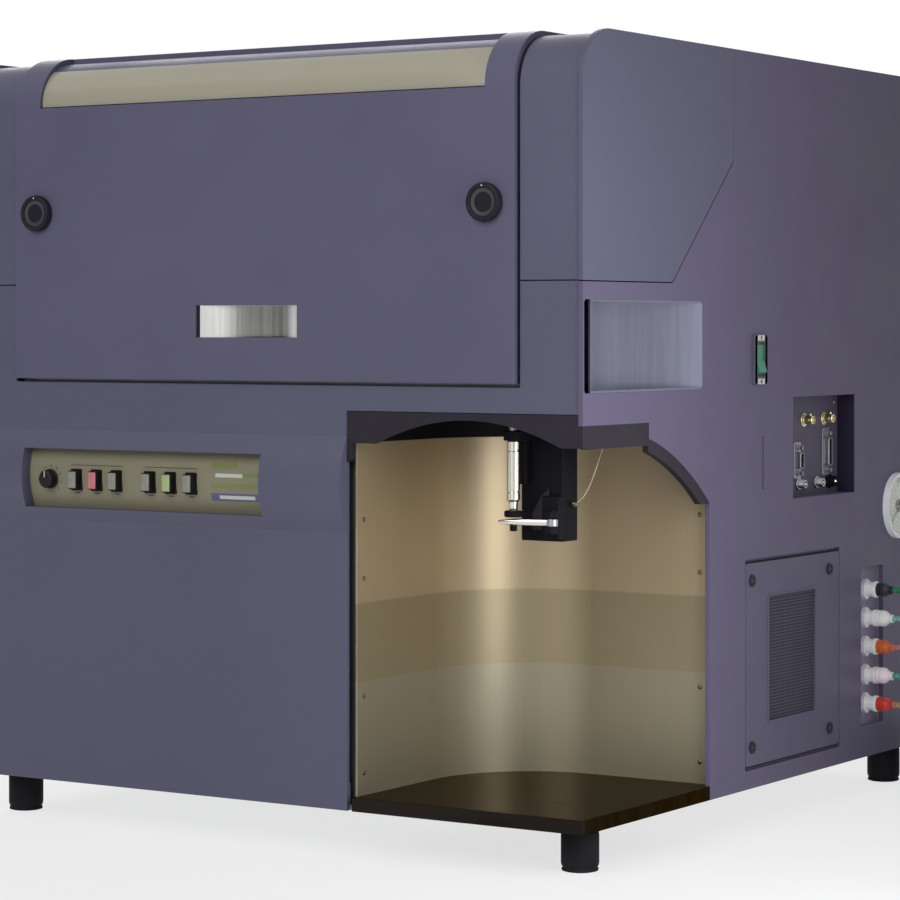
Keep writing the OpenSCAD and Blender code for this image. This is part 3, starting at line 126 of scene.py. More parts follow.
def joined(forms: Iterable[Form]) -> Form:
    """All the surfaces as one."""
    forms = list(forms)
    whole = forms[0]
    for form in forms[1:]:
        whole = whole + form
    return whole


def grid_faces(rows: int, columns: int, closed: bool) -> np.ndarray:
    """Quads of a grid of points, numbered row by row.

    Args:
        rows: number of rows.
        columns: number of points in a row.
        closed: whether the last column joins the first.

    Returns:
        An array of four point numbers to a face: (i, j), (i, j+1), (i+1, j+1), (i+1, j).
    """
    across = columns if closed else columns - 1
    i, j = np.meshgrid(np.arange(rows - 1), np.arange(across), indexing="ij")
    k = (j + 1) % columns
    corners = (i * columns + j, i * columns + k, (i + 1) * columns + k, (i + 1) * columns + j)
    return np.stack(corners, -1).reshape(-1, 4)


def lofted(rings: np.ndarray, hollow: bool = False) -> Form:
    """A closed skin over closed rings that follow one another.

    Args:
        rings: array of rings, points and coordinates.
        hollow: whether the last ring joins the first, as in a frame, where otherwise a face closes each.

    Returns:
        The skin: neighbouring rings are joined point by point.
    """
    rows, columns = rings.shape[:2]
    size = rows * columns
    if hollow:
        faces = grid_faces(rows + 1, columns, True) % size
        return Form(rings.reshape(-1, 3), [tuple(face) for face in faces.tolist()])
    faces = [tuple(face) for face in grid_faces(rows, columns, True).tolist()]
    ends = [tuple(range(columns))[::-1], tuple(range(size - columns, size))]
    return Form(rings.reshape(-1, 3), faces + ends)


def turned(
    profile: Sequence[tuple[float, float]],
    origin: Sequence[float],
    facing: Facing,
    sides: int = 48,
    flutes: int = 0,
    depth: float = 0.0,
    hollow: bool = False,
) -> Form:
    """A turned part.

    Args:
        profile: pairs of radius and distance along the axis, from the base outwards.
        origin: the point on the axis where the distance is nought.
        facing: the way its axis points.
        sides: points to a turn.
        flutes: number of grip flutes round it, or none.
        depth: how far a flute cuts in, at full radius.
        hollow: whether the profile's last point joins its first, which leaves a bore.

    Returns:
        The surface: a point at angle t and profile station s is origin + n·along(s) + r(s)·(u·cos t +
        v·sin t), where r is made smaller by depth·(1 − cos(flutes·t))/2 in proportion to its size.
    """
    u, v, n = facing.axes
    radius, along = np.array(profile, float).T
    angle = np.linspace(0, 2 * np.pi, sides, endpoint=False)
    cut = depth * (1 - np.cos(flutes * angle)) / 2 / max(radius.max(), 1e-6)
    reach = radius[:, None] * (1 - cut[None, :])
    around = np.cos(angle)[:, None] * u + np.sin(angle)[:, None] * v
    rings = np.array(origin, float) + along[:, None, None] * n + reach[:, :, None] * around[None]
    return lofted(rings, hollow)


def rounded_outline(width: float, height: float, corner: float) -> np.ndarray:
    """Points round a rectangle with round corners, centred on nought.

    Args:
        width: its whole width.
        height: its whole height.
        corner: radius of its corners, held to what the rectangle has room for.

    Returns:
        An array of places in width and height. A corner's points are its centre plus corner·(cos t, sin t),
        with t over the corner's own quarter turn.
    """
    steps, least = 5, 1e-3
    corner = max(min(corner, width / 2 - least, height / 2 - least), least)
    t = np.linspace(0, np.pi / 2, steps)[None, :] + np.arange(4)[:, None] * np.pi / 2
    cu = (width / 2 - corner) * np.array([1, -1, -1, 1])[:, None]
    cv = (height / 2 - corner) * np.array([1, 1, -1, -1])[:, None]
    return np.stack([cu + corner * np.cos(t), cv + corner * np.sin(t)], -1).reshape(-1, 2)


def stacked(
    centre: Sequence[float],
    facing: Facing,
    outlines: Iterable[tuple[np.ndarray, float]],
    hollow: bool = False,
) -> Form:
    """A skin over flat outlines that stand one above another.

    Args:
        centre: the middle of the base.
        facing: the way it faces, with directions u, v and n.
        outlines: pairs of an outline, in width and height, and its height above the base.
        hollow: whether the last outline joins the first.

    Returns:
        The surface: a point (p, q) of an outline at height h is centre + p·u + q·v + h·n.
    """
    u, v, n = facing.axes
    middle = np.array(centre, float)
    rings = [middle + outline[:, :1] * u + outline[:, 1:] * v + above * n for outline, above in outlines]
    return lofted(np.array(rings), hollow)


def plate(
    centre: Sequence[float],
    facing: Facing,
    size: tuple[float, float],
    corner: float,
    levels: Sequence[tuple[float, float]],
) -> Form:
    """A moulded block: round-cornered outlines stacked along its outward direction.

    Args:
        centre: the middle of its base.
        facing: the way it faces.
        size: its width and height.
        corner: radius of its corners.
        levels: pairs of height above the base and how much the outline is drawn in there.

    Returns:
        The closed surface, lofted over the outlines.
    """
    sharpest = 0.05
    outlines = []
    for above, inset in levels:
        radius = max(corner - inset, sharpest)
        outlines.append((rounded_outline(size[0] - 2 * inset, size[1] - 2 * inset, radius), above))
    return stacked(centre, facing, outlines)


def slab(low: Sequence[float], high: Sequence[float], corner: float, edge: float) -> Form:
    """A block with its upright edges rounded and its other edges chamfered.

    Args:
        low: its corner with the least X, Y and Z.
        high: its corner with the greatest.
        corner: radius of the upright edges.
        edge: width of the chamfers.

    Returns:
        The closed surface.
    """
    low, high = np.array(low, float), np.array(high, float)
    middle = (low + high) / 2
    width, depth, height = high - low
    levels = [(0, edge), (edge, 0), (height - edge, 0), (height, edge)]
    return plate((middle[0], middle[1], low[2]), Facing.UP, (width, depth), corner, levels)


def swept(path: np.ndarray, radius: float, sides: int) -> Form:
    """A round bar along a path.

    Args:
        path: the places of its centreline.
        radius: its radius.
        sides: points round it.

    Returns:
        The closed surface. At each station the tangent is the difference of the neighbours, the first side
        direction is its cross product with a fixed direction that the path never takes, the second is
        square to both, and the ring is radius·(first·cos t + second·sin t).
    """
    tangent = np.gradient(path, axis=0)
    tangent /= np.linalg.norm(tangent, axis=1)[:, None]
    spare = np.array([0.31, 0.17, 0.94])
    first = np.cross(tangent, spare)
    first /= np.linalg.norm(first, axis=1)[:, None]
    second = np.cross(tangent, first)
    t = np.linspace(0, 2 * np.pi, sides, endpoint=False)
    cosine, sine = np.cos(t)[None, :, None], np.sin(t)[None, :, None]
    rings = path[:, None] + radius * (cosine * first[:, None] + sine * second[:, None])
    return lofted(rings)


def smooth_path(points: np.ndarray, samples: int) -> np.ndarray:
    """A smooth path through some places.

    Args:
        points: the places in order.
        samples: stations from each place to the next.

    Returns:
        The stations and the last place. Between two neighbours the path is the cubic with their places and,
        as slopes, half the difference of the places on either side: h00·p0 + h10·m0 + h01·p1 + h11·m1.
    """
    slope = np.gradient(points, axis=0)
    t = np.linspace(0, 1, samples, endpoint=False)[None, :, None]
    p0, p1, m0, m1 = points[:-1, None], points[1:, None], slope[:-1, None], slope[1:, None]
    curve = (2 * t**3 - 3 * t**2 + 1) * p0 + (t**3 - 2 * t**2 + t) * m0
    curve = curve + (3 * t**2 - 2 * t**3) * p1 + (t**3 - t**2) * m1
    return np.vstack([curve.reshape(-1, 3), points[-1:]])


# ---- Finishes ----

# Nearly all of a noise pattern's values lie in this range.
NOISE_SPAN = (0.3, 0.7)


def linear(colour: Colour, factor: float = 1.0) -> tuple[float, float, float, float]:
    """A display colour as linear light.

    Args:
        colour: its red, green and blue, each up to 255.
        factor: how much brighter it is made.

    Returns:
        Red, green, blue and a full alpha, by the display's own curve, times the factor and held to one.
    """
    c = np.array(colour, float) / 255
    c = np.where(c <= 0.04045, c / 12.92, ((c + 0.055) / 1.055) ** 2.4) * factor
    return (*np.clip(c, 0, 1).tolist(), 1.0)


class Graph:
    """A material's node tree, with a short call for each node that the finishes use."""

    def __init__(self, name: str) -> None:
        """Starts a material of that name."""
        self.material = bpy.data.materials.new(name)
        self.material.use_nodes = True
        self.tree = self.material.node_tree
        self.shader = self.tree.nodes["Principled BSDF"]
        self.place = self.add("ShaderNodeTexCoord").outputs["Object"]

    def add(self, kind: str, **settings: object) -> bpy.types.Node:
        """A new node with its settings."""
        node = self.tree.nodes.new(kind)
        for key, value in settings.items():
            setattr(node, key, value)
        return node

    def join(self, source: object, target: object) -> None:
        """Links a socket to a socket, or writes a plain value into it."""
        if isinstance(source, bpy.types.NodeSocket):
            self.tree.links.new(source, target)
        else:
            target.default_value = source

    def fix(self, **values: object) -> None:
        """Sets the shader's own sockets. Names are written with underscores for spaces."""
        for key, value in values.items():
            self.shader.inputs[key.replace("_", " ")].default_value = value

    def into(self, name: str, source: object) -> None:
        """Links a socket to the shader."""
        self.join(source, self.shader.inputs[name])

    def noise(self, scale: float, detail: float, stretch: Sequence[float] = (1, 1, 1)) -> object:
        """A noise pattern.

        Args:
            scale: how fine it is, in patches to a metre.
            detail: its octaves.
            stretch: factors on the Object coordinates that it reads.

        Returns:
            The socket with its value.
        """
        turn = self.add("ShaderNodeMapping")
        turn.inputs["Scale"].default_value = stretch
        self.join(self.place, turn.inputs["Vector"])
        node = self.add("ShaderNodeTexNoise")
        node.inputs["Scale"].default_value = scale
        node.inputs["Detail"].default_value = detail
        self.join(turn.outputs["Vector"], node.inputs["Vector"])
        return node.outputs["Fac"]

    def cells(self, scale: float) -> object:
        """The distance to the nearest point of a cell pattern, so many cells to a metre."""
        node = self.add("ShaderNodeTexVoronoi")
        node.inputs["Scale"].default_value = scale
        self.join(self.place, node.inputs["Vector"])
        return node.outputs["Distance"]

    def remap(self, value: object, low: float, high: float, to_low: float, to_high: float) -> object:
        """A value moved from one range to another.

        Args:
            value: a socket or a number.
            low: the start of the first range.
            high: its end.
            to_low: what the start becomes, and all that lies before it.
            to_high: what the end becomes, and all that lies past it.

        Returns:
            The socket with the result.
        """
        node = self.add("ShaderNodeMapRange", clamp=True)
        self.join(value, node.inputs["Value"])
        for key, number in zip(("From Min", "From Max", "To Min", "To Max"), (low, high, to_low, to_high)):
            node.inputs[key].default_value = number
        return node.outputs["Result"]

    def spread(self, value: object, to_low: float, to_high: float) -> object:
        """A noise pattern's values spread between two limits."""
        return self.remap(value, *NOISE_SPAN, to_low, to_high)

    def blend(self, factor: object, first: object, second: object) -> object:
        """A mix of two colours.

        Args:
            factor: how much there is of the second, as a socket or a number.
            first: a socket or a colour.
            second: a socket or a colour.

        Returns:
            The socket with the mixed colour. On this node the colours are inputs 6 and 7, and output 2.
        """
        node = self.add("ShaderNodeMix", data_type="RGBA")
        self.join(factor, node.inputs[0])
        self.join(first, node.inputs[6])
        self.join(second, node.inputs[7])
        return node.outputs[2]

    def math(self, operation: str, first: object, second: object) -> object:
        """The named operation on two values."""
        node = self.add("ShaderNodeMath", operation=operation)
        self.join(first, node.inputs[0])
        self.join(second, node.inputs[1])
        return node.outputs[0]

    def axis(self, name: str) -> object:
        """One Object coordinate, in metres."""
        node = self.add("ShaderNodeSeparateXYZ")
        self.join(self.place, node.inputs[0])
        return node.outputs[name]

    def within(self, name: str, low: float, high: float, soft: float) -> object:
        """A mask between two limits of a coordinate.

        Args:
            name: the coordinate.
            low: the lower limit in millimetres.
            high: the upper limit in millimetres.
            soft: half the width of its soft edges.

        Returns:
            A socket that is one between the limits and nought outside: one ramp up times one ramp down.
        """
        value = self.axis(name)
        up = self.remap(value, (low - soft) * MM, (low + soft) * MM, 0, 1)
        down = self.remap(value, (high - soft) * MM, (high + soft) * MM, 1, 0)
        return self.math("MULTIPLY", up, down)

    def relief(self, height: object, distance: float, strength: float, edge: float = 0.0) -> object:
        """Fine relief.

        Args:
            height: the pattern.
            distance: how deep it goes, in metres.
            strength: how much of it is used.
            edge: radius in millimetres to which edges are softened as well, or none.

        Returns:
            The socket with the normal.
        """
        node = self.add("ShaderNodeBump")
        node.inputs["Distance"].default_value = distance
        node.inputs["Strength"].default_value = strength
        self.join(height, node.inputs["Height"])
        if edge > 0:
            self.join(self.soft_edge(edge), node.inputs["Normal"])
        return node.outputs["Normal"]

    def soft_edge(self, edge: float) -> object:
        """The surface normal with its edges rounded to a radius in millimetres."""
        node = self.add("ShaderNodeBevel", samples=4)
        node.inputs["Radius"].default_value = edge * MM
        return node.outputs["Normal"]

    def worn(self, edge: float) -> object:
        """A mask of the outer and inner edges, from the rounded normal's product with the flat one."""
        flat = self.add("ShaderNodeNewGeometry").outputs["Normal"]
        node = self.add("ShaderNodeVectorMath", operation="DOT_PRODUCT")
        self.join(self.soft_edge(edge), node.inputs[0])
        self.join(flat, node.inputs[1])
        return self.remap(node.outputs["Value"], 0.97, 0.75, 0, 1)


@dataclass(frozen=True)
class Finish:
    """A named surface finish. Each kind lays its own nodes.

    The kinds share some words: grain is how fine the texture is, in patches to a metre, depth is how deep it
    goes, in metres, edge is the radius in millimetres to which edges look softened, cloud is how uneven the
    colour is, and sheen is the strength of the highlight.
    """

    name: str
    colour: Colour
    roughness: float = 0.5

    def lay(self, g: Graph) -> None:
        """Lays the nodes of the finish."""
        raise NotImplementedError

    def material(self) -> bpy.types.Material:
        """The finish's material, made once."""
        name = f"{self.name}_finish"
        found = bpy.data.materials.get(name)
        if found:
            return found
        g = Graph(name)
        self.lay(g)
        g.material.diffuse_color = linear(self.colour)
        return g.material


@dataclass(frozen=True)
class Paint(Finish):
    """Textured paint or painted moulding: orange peel, faint clouding, rubbed edges."""

    grain: float = 900.0
    depth: float = 0.00005
    edge: float = 1.2
    cloud: float = 0.05
    sheen: float = 0.5

    def lay(self, g: Graph) -> None:
        """Clouded colour with lighter edges, uneven gloss and a fine grain."""
        cloud = g.spread(g.noise(3.5, 2), 0, 1)
        colour = g.blend(cloud, linear(self.colour, 1 - self.cloud), linear(self.colour, 1 + self.cloud))
        speck = g.remap(g.noise(1600, 2), 0.45, 0.75, 0, 0.35)
        colour = g.blend(speck, colour, linear(self.colour, 1.25))
        rubbed = g.math("MULTIPLY", g.worn(self.edge), g.remap(g.noise(60, 3), 0.35, 0.7, 0.1, 0.55))
        g.into("Base Color", g.blend(rubbed, colour, linear(self.colour, 1.6)))
        g.into("Roughness", g.spread(g.noise(14, 4), self.roughness - 0.05, self.roughness + 0.06))
        g.into("Normal", g.relief(g.noise(self.grain, 2), self.depth, 0.6, self.edge))
        g.fix(Specular_IOR_Level=self.sheen)


@dataclass(frozen=True)
class Moulded(Finish):
    """Moulded plastic: spark-eroded texture, scuffed gloss, softened edges."""

    grain: float = 1500.0
    edge: float = 0.6
    coat: float = 0.0
    cloud: float = 0.08
    sheen: float = 0.3

    def lay(self, g: Graph) -> None:
        """A near-even colour under a fine texture, with faint scuffs in the gloss."""
        cloud = g.spread(g.noise(22, 3), 0, 1)
        colour = g.blend(cloud, linear(self.colour, 1 - self.cloud), linear(self.colour, 1 + self.cloud))
        rubbed = g.math("MULTIPLY", g.worn(self.edge), 0.3)
        g.into("Base Color", g.blend(rubbed, colour, linear(self.colour, 1.8)))
        scuff = g.remap(g.noise(120, 5, (1, 6, 1)), 0.4, 0.75, 0, 0.12)
        g.into("Roughness", g.math("ADD", scuff, self.roughness))
        g.into("Normal", g.relief(g.noise(self.grain, 2), 0.00003, 0.5, self.edge))
        g.fix(Coat_Weight=self.coat, Coat_Roughness=0.12, Specular_IOR_Level=self.sheen)


@dataclass(frozen=True)
class Metal(Finish):
    """Brushed, turned or cast metal, with the brushing along one axis."""

    brush: tuple[float, float, float] = (1.0, 1.0, 40.0)
    streak: float = 0.08
    metallic: float = 1.0
    edge: float = 0.4
    sheen: float = 0.5

    def lay(self, g: Graph) -> None:
        """Long streaks in colour, gloss and relief, over faint clouding."""
        lines = g.noise(260, 4, self.brush)
        cloud = g.noise(9, 3)
        tone = g.spread(lines, 0, 1)
        colour = g.blend(tone, linear(self.colour, 0.92), linear(self.colour, 1.06))
        g.into("Base Color", g.blend(g.spread(cloud, 0, 0.25), colour, linear(self.colour, 0.8)))
        rough = g.spread(lines, self.roughness - self.streak, self.roughness + self.streak)
        g.into("Roughness", g.math("ADD", rough, g.remap(cloud, 0.35, 0.7, 0, 0.06)))
        g.into("Normal", g.relief(lines, 0.00004, 0.35, self.edge))
        g.fix(Metallic=self.metallic, Specular_IOR_Level=self.sheen)


@dataclass(frozen=True)
class Liner(Finish):
    """Satin sheet of the sample bay with a darker band across it, between two heights in millimetres."""

    band: Colour = (146, 133, 104)
    foot: Colour = (150, 142, 120)
    low: float = 162.0
    high: float = 235.0
    drawn: Colour = (210, 204, 190)
    metallic: float = 0.45

    def lay(self, g: Graph) -> None:
        """Beige above and below, olive between two heights, drawn upright and finger-marked."""
        streak = g.remap(g.noise(700, 2, (1, 1, 0.02)), 0.2, 0.8, 0, 0.05)
        marks = g.noise(9, 2)
        below = g.remap(g.axis("Z"), (self.low + 1) * MM, (self.low + 2) * MM, 1, 0)
        ground = g.blend(below, linear(self.colour), linear(self.foot))
        sheet = g.blend(g.within("Z", self.low, self.high, 0.8), ground, linear(self.band))
        g.into("Base Color", g.blend(streak, sheet, linear(self.drawn)))
        g.into("Roughness", g.remap(marks, 0, 1, self.roughness - 0.04, self.roughness + 0.04))
        g.into("Normal", g.soft_edge(0.4))
        g.fix(Metallic=self.metallic, Specular_IOR_Level=0.5)


@dataclass(frozen=True)
class Gloss(Finish):
    """Polished dark sheet that mirrors what stands on it, with dust and hairline scratches."""

    dust: Colour = (150, 140, 128)

    def lay(self, g: Graph) -> None:
        """Dark colour with pale dust, and gloss that the dust and the scratches break."""
        dust = g.remap(g.noise(700, 5), 0.6, 0.85, 0, 0.06)
        wipe = g.noise(30, 5, (0.3, 4, 1))
        colour = g.blend(g.spread(wipe, 0, 1), linear(self.colour, 0.8), linear(self.colour, 1.3))
        g.into("Base Color", g.blend(dust, colour, linear(self.dust)))
        g.into("Roughness", g.math("ADD", g.remap(wipe, 0.35, 0.7, 0, 0.06), self.roughness))
        g.into("Normal", g.relief(g.noise(400, 4, (0.15, 3, 1)), 0.00001, 0.2, 0.8))
        g.fix(Metallic=1.0, Specular_Tint=(0.5, 0.45, 0.38, 1))


@dataclass(frozen=True)
class Rubber(Finish):
    """Black rubber with bloom and pits."""

    def lay(self, g: Graph) -> None:
        """A dull colour with paler bloom, pitted all over."""
        bloom = g.remap(g.noise(55, 5), 0.4, 0.75, 0, 0.25)
        g.into("Base Color", g.blend(bloom, linear(self.colour), linear(self.colour, 2.2)))
        g.into("Roughness", g.spread(g.noise(90, 3), self.roughness - 0.08, self.roughness + 0.08))
        g.into("Normal", g.relief(g.cells(1300), 0.00008, 0.5, 0.6))
        g.fix(Specular_IOR_Level=0.1)


@dataclass(frozen=True)
class Tubing(Finish):
    """Soft translucent tubing with a milky wall."""

    clear: float = 0.35

    def lay(self, g: Graph) -> None:
        """Tinted, part-clear wall with cloudy patches and a slightly uneven skin."""
        haze = g.spread(g.noise(70, 3), 0, 1)
        g.into("Base Color", g.blend(haze, linear(self.colour, 0.9), linear(self.colour, 1.15)))
        g.into("Roughness", g.spread(g.noise(300, 3), self.roughness - 0.05, self.roughness + 0.08))
        g.into("Normal", g.relief(g.noise(240, 2), 0.0001, 0.2))
        g.fix(Transmission_Weight=self.clear, IOR=1.42, Coat_Weight=0.3, Coat_Roughness=0.15)


@dataclass(frozen=True)
class Lens(Finish):
    """Frosted button lens, faintly lit from behind."""

    glow: float = 0.12

    def lay(self, g: Graph) -> None:
        """A milky colour that varies at random, with a faint even glow."""
        milk = g.spread(g.noise(160, 3), 0, 1)
        g.into("Base Color", g.blend(milk, linear(self.colour, 0.92), linear(self.colour, 1.1)))
        g.into("Roughness", g.remap(milk, 0, 1, self.roughness - 0.05, self.roughness + 0.05))
        g.into("Normal", g.relief(g.noise(1900, 2), 0.00003, 0.3))
        g.fix(Emission_Color=linear(self.colour), Emission_Strength=self.glow)
        g.fix(Coat_Weight=0.2, Coat_Roughness=0.15)


@dataclass(frozen=True)
class Printed(Finish):
    """Flat ink or enamel on a panel, very slightly broken."""

    def lay(self, g: Graph) -> None:
        """An inked colour with worn specks and a soft gloss."""
        worn = g.remap(g.noise(900, 4), 0.6, 0.8, 0, 0.5)
        g.into("Base Color", g.blend(worn, linear(self.colour), linear(self.colour, 0.7)))
        g.into("Roughness", g.spread(g.noise(60, 3), self.roughness - 0.05, self.roughness + 0.05))
        g.into("Normal", g.relief(g.noise(1500, 2), 0.00002, 0.4))


@dataclass(frozen=True)
class Foam(Finish):
    """Open-cell filter foam."""

    def lay(self, g: Graph) -> None:
        """Painted shade in the cells and a painted highlight on the struts, with deep relief."""
        cell = g.cells(900)
        # painted shade in the cells, painted highlight on the struts
        painted_pore_shade = g.remap(cell, 0.1, 0.6, 0, 1)
        g.into("Base Color", g.blend(painted_pore_shade, linear(self.colour, 0.3), linear(self.colour, 1.6)))
        g.into("Roughness", g.remap(cell, 0.1, 0.6, 0.8, 0.95))
        g.into("Normal", g.relief(cell, 0.0006, 0.9))


@dataclass(frozen=True)
class Board(Finish):
    """Printed circuit board: green resist over copper tracks, with tinned pads."""

    tin: Colour = (176, 178, 170)

    def lay(self, g: Graph) -> None:
        """Rows of brick joints as tracks, and small cells as pads, over a green ground."""
        track = g.add("ShaderNodeTexBrick")
        g.join(g.place, track.inputs["Vector"])
        layout = {"Scale": 60.0, "Mortar Size": 0.06, "Brick Width": 0.9, "Row Height": 0.31}
        for key, value in layout.items():
            track.inputs[key].default_value = value
        pads = g.remap(g.cells(260), 0.12, 0.2, 1, 0)
        ground = g.blend(track.outputs["Fac"], linear(self.colour), linear(self.colour, 1.9))
        g.into("Base Color", g.blend(pads, ground, linear(self.tin)))
        g.into("Metallic", g.math("MULTIPLY", pads, 0.9))
        g.into("Roughness", g.spread(g.noise(80, 3), self.roughness - 0.08, self.roughness + 0.1))
        g.into("Normal", g.relief(track.outputs["Fac"], 0.0001, 0.4, 0.3))


@dataclass(frozen=True)
class Glass(Finish):
    """Clear gauge glass with a trace of dust."""

    def lay(self, g: Graph) -> None:
        """Clear, with gloss broken by dust."""
        dust = g.noise(500, 5)
        g.into("Roughness", g.remap(dust, 0.55, 0.8, self.roughness, self.roughness + 0.12))
        g.into("Normal", g.relief(g.noise(12, 2), 0.0002, 0.1))
        g.fix(Base_Color=linear(self.colour), Transmission_Weight=1.0, IOR=1.3, Alpha=0.25)


class Finishes(Enum):
    """Every finish on the instrument."""

    MOULDING = Paint("front_moulding_slate", (90, 90, 112), 0.5, sheen=0.35)
    DOOR = Paint("door_moulding_slate", (93, 90, 115), 0.48, sheen=0.35)
    SIDE = Paint("side_sheet_slate", (96, 90, 116), 0.5, 1100.0, 0.00006, sheen=0.3)
    COVER = Paint("intake_cover_slate", (93, 88, 113), 0.5, 1100.0, 0.00006, 1.0, sheen=0.3)
    # the side paint made slightly darker and greyer: painted shade in the connector recess
    RECESS = Paint("recess_slate_painted_shade", (90, 86, 104), 0.55, 1100.0, 0.00005, 0.8, sheen=0.25)
    FASCIA = Moulded("fascia_charcoal", (50, 46, 54), 0.5, sheen=0.1)
    BLACK = Moulded("black_moulding", (20, 19, 22), 0.5, sheen=0.06)
    BLACK_METAL = Metal("black_anodised_block", (26, 26, 31), 0.45, (1, 1, 12), 0.05, 0.2, 0.4, 0.06)
    # the lock's rim, darker than its grey face as painted shade
    LOCK = Moulded("lock_ring_painted_shade", (34, 34, 41), 0.45, 1500.0, 0.5, sheen=0.12)
    LOCK_FACE = Moulded("lock_face_grey", (66, 66, 73), 0.38, 1500.0, 0.5, sheen=0.3)
    PALE_MARK = Printed("pale_mark", (206, 206, 202), 0.45)
    TRIM = Moulded("door_trim_beige", (172, 168, 150), 0.28, 1500.0, 0.5, 0.4, 0.015)
    PANEL = Moulded("control_strip_beige", (139, 134, 112), 0.42, 1500.0, 0.3, cloud=0.04)
    LINER = Liner("bay_liner_satin", (170, 153, 122), 0.35)
    FLOOR = Gloss("bay_floor_gloss", (37, 33, 31), 0.16)
    PULL = Metal("door_pull_satin", (210, 210, 208), 0.19, (1, 1, 0.03), 0.02)
    SCOOP = Metal("grip_scoop_blue_metal", (140, 142, 162), 0.32, (1, 1, 0.03), 0.02, 0.85)
    RUBBER = Rubber("foot_rubber", (33, 32, 37), 0.75)
    BEZEL = Moulded("switch_bezel_slate", (84, 86, 100), 0.42)
    # black button sides and collars: painted shade
    BUTTON_SIDE_SHADE = Moulded("button_side_painted_shade", (22, 22, 22), 0.45, sheen=0.2)
    LENS_GREY = Lens("lens_grey", (138, 140, 132), 0.35, 0.02)
    LENS_RED = Lens("lens_red", (190, 112, 116), 0.35, 0.1)
    LENS_GREEN = Lens("lens_green", (156, 176, 124), 0.35, 0.1)
    KNOB = Moulded("flow_knob_black", (24, 22, 22), 0.45, sheen=0.25)
    ROCKER = Lens("rocker_green", (44, 120, 92), 0.36, 0.12)
    STEEL = Metal("polished_steel", (222, 219, 208), 0.2, (1, 1, 8), 0.04)
    SATIN_STEEL = Metal("satin_steel", (170, 171, 174), 0.34)
    SCREW = Metal("screw_olive_steel", (118, 110, 90), 0.36)
    DULL = Metal("port_shell_dull", (150, 148, 156), 0.42)
    ZINC = Metal("zinc_sheet", (158, 162, 164), 0.42, (4, 1, 1), 0.08, 0.9)
    BRASS = Metal("gilt_brass", (226, 214, 168), 0.25, (1, 1, 1), 0.06)
    BENCH = Metal("bench_aluminium", (196, 198, 200), 0.42, (30, 1, 1), 0.06, 0.45)
    OPTICS = Metal("black_optics_anodise", (50, 50, 55), 0.4, (1, 8, 1), 0.05, 0.4)
    TRAY = Moulded("coupling_tray_grey", (140, 132, 154), 0.5)
    GAUGE = Moulded("gauge_case_white", (246, 247, 250), 0.3, 1500.0, 0.4, 0.3)
    DIAL = Printed("gauge_dial", (172, 180, 168), 0.5)
    INK = Printed("dial_ink", (30, 32, 31), 0.5)
    GLASS = Glass("gauge_glass", (246, 250, 247), 0.04)
    MESH = Moulded("intake_mesh_slate", (80, 77, 95), 0.5, sheen=0.25)
    FOAM = Foam("filter_foam", (46, 44, 50), 0.9)
    BOARD = Board("circuit_board_green", (28, 84, 52), 0.4)
    FLUIDICS = Moulded("fluidics_white", (206, 209, 210), 0.4)
    LINE = Tubing("sample_line_clear", (200, 190, 160), 0.2, 0.6)
    PRINT_GREEN = Printed("legend_green", (122, 134, 80), 0.4)
    PRINT_WHITE = Printed("legend_white", (206, 208, 196), 0.4)
    PRINT_BLUE = Printed("legend_blue", (88, 90, 134), 0.4)
    PLUG_WHITE = Moulded("plug_white", (240, 242, 240), 0.35)
    PLUG_PINK = Moulded("plug_pale_pink", (240, 226, 231), 0.35)
    PLUG_DARK = Moulded("plug_dark", (38, 34, 48), 0.4)
    PLUG_ORANGE = Moulded("plug_orange", (206, 98, 52), 0.35)
    PLUG_RED = Moulded("plug_red", (204, 58, 48), 0.35)
    # a dark sheet's finish: painted shade on the recess's rear wall
    WALL_SHADE = Moulded("recess_wall_painted_shade", (44, 38, 54), 0.5, sheen=0.08)
    SOCKET = Moulded("socket_pale", (238, 238, 243), 0.35)
    TUBE_GREEN = Tubing("tubing_green", (46, 140, 96), 0.25, 0.2)
    TUBE_PALE = Tubing("tubing_pale", (150, 206, 204), 0.25, 0.3)
    TUBE_PINK = Tubing("tubing_pink", (206, 142, 134), 0.25, 0.3)
    TUBE_TEAL = Tubing("tubing_teal", (96, 182, 172), 0.25, 0.25)
    TUBE_TAN = Tubing("tubing_tan", (196, 158, 112), 0.25, 0.3)

    @property
    def material(self) -> bpy.types.Material:
        """The finish's material."""
        return self.value.material()


F = Finishes


# ---- Pieces ----

# The angle in degrees up to which an edge is shaded round.
ROUND_UP_TO = 32.0


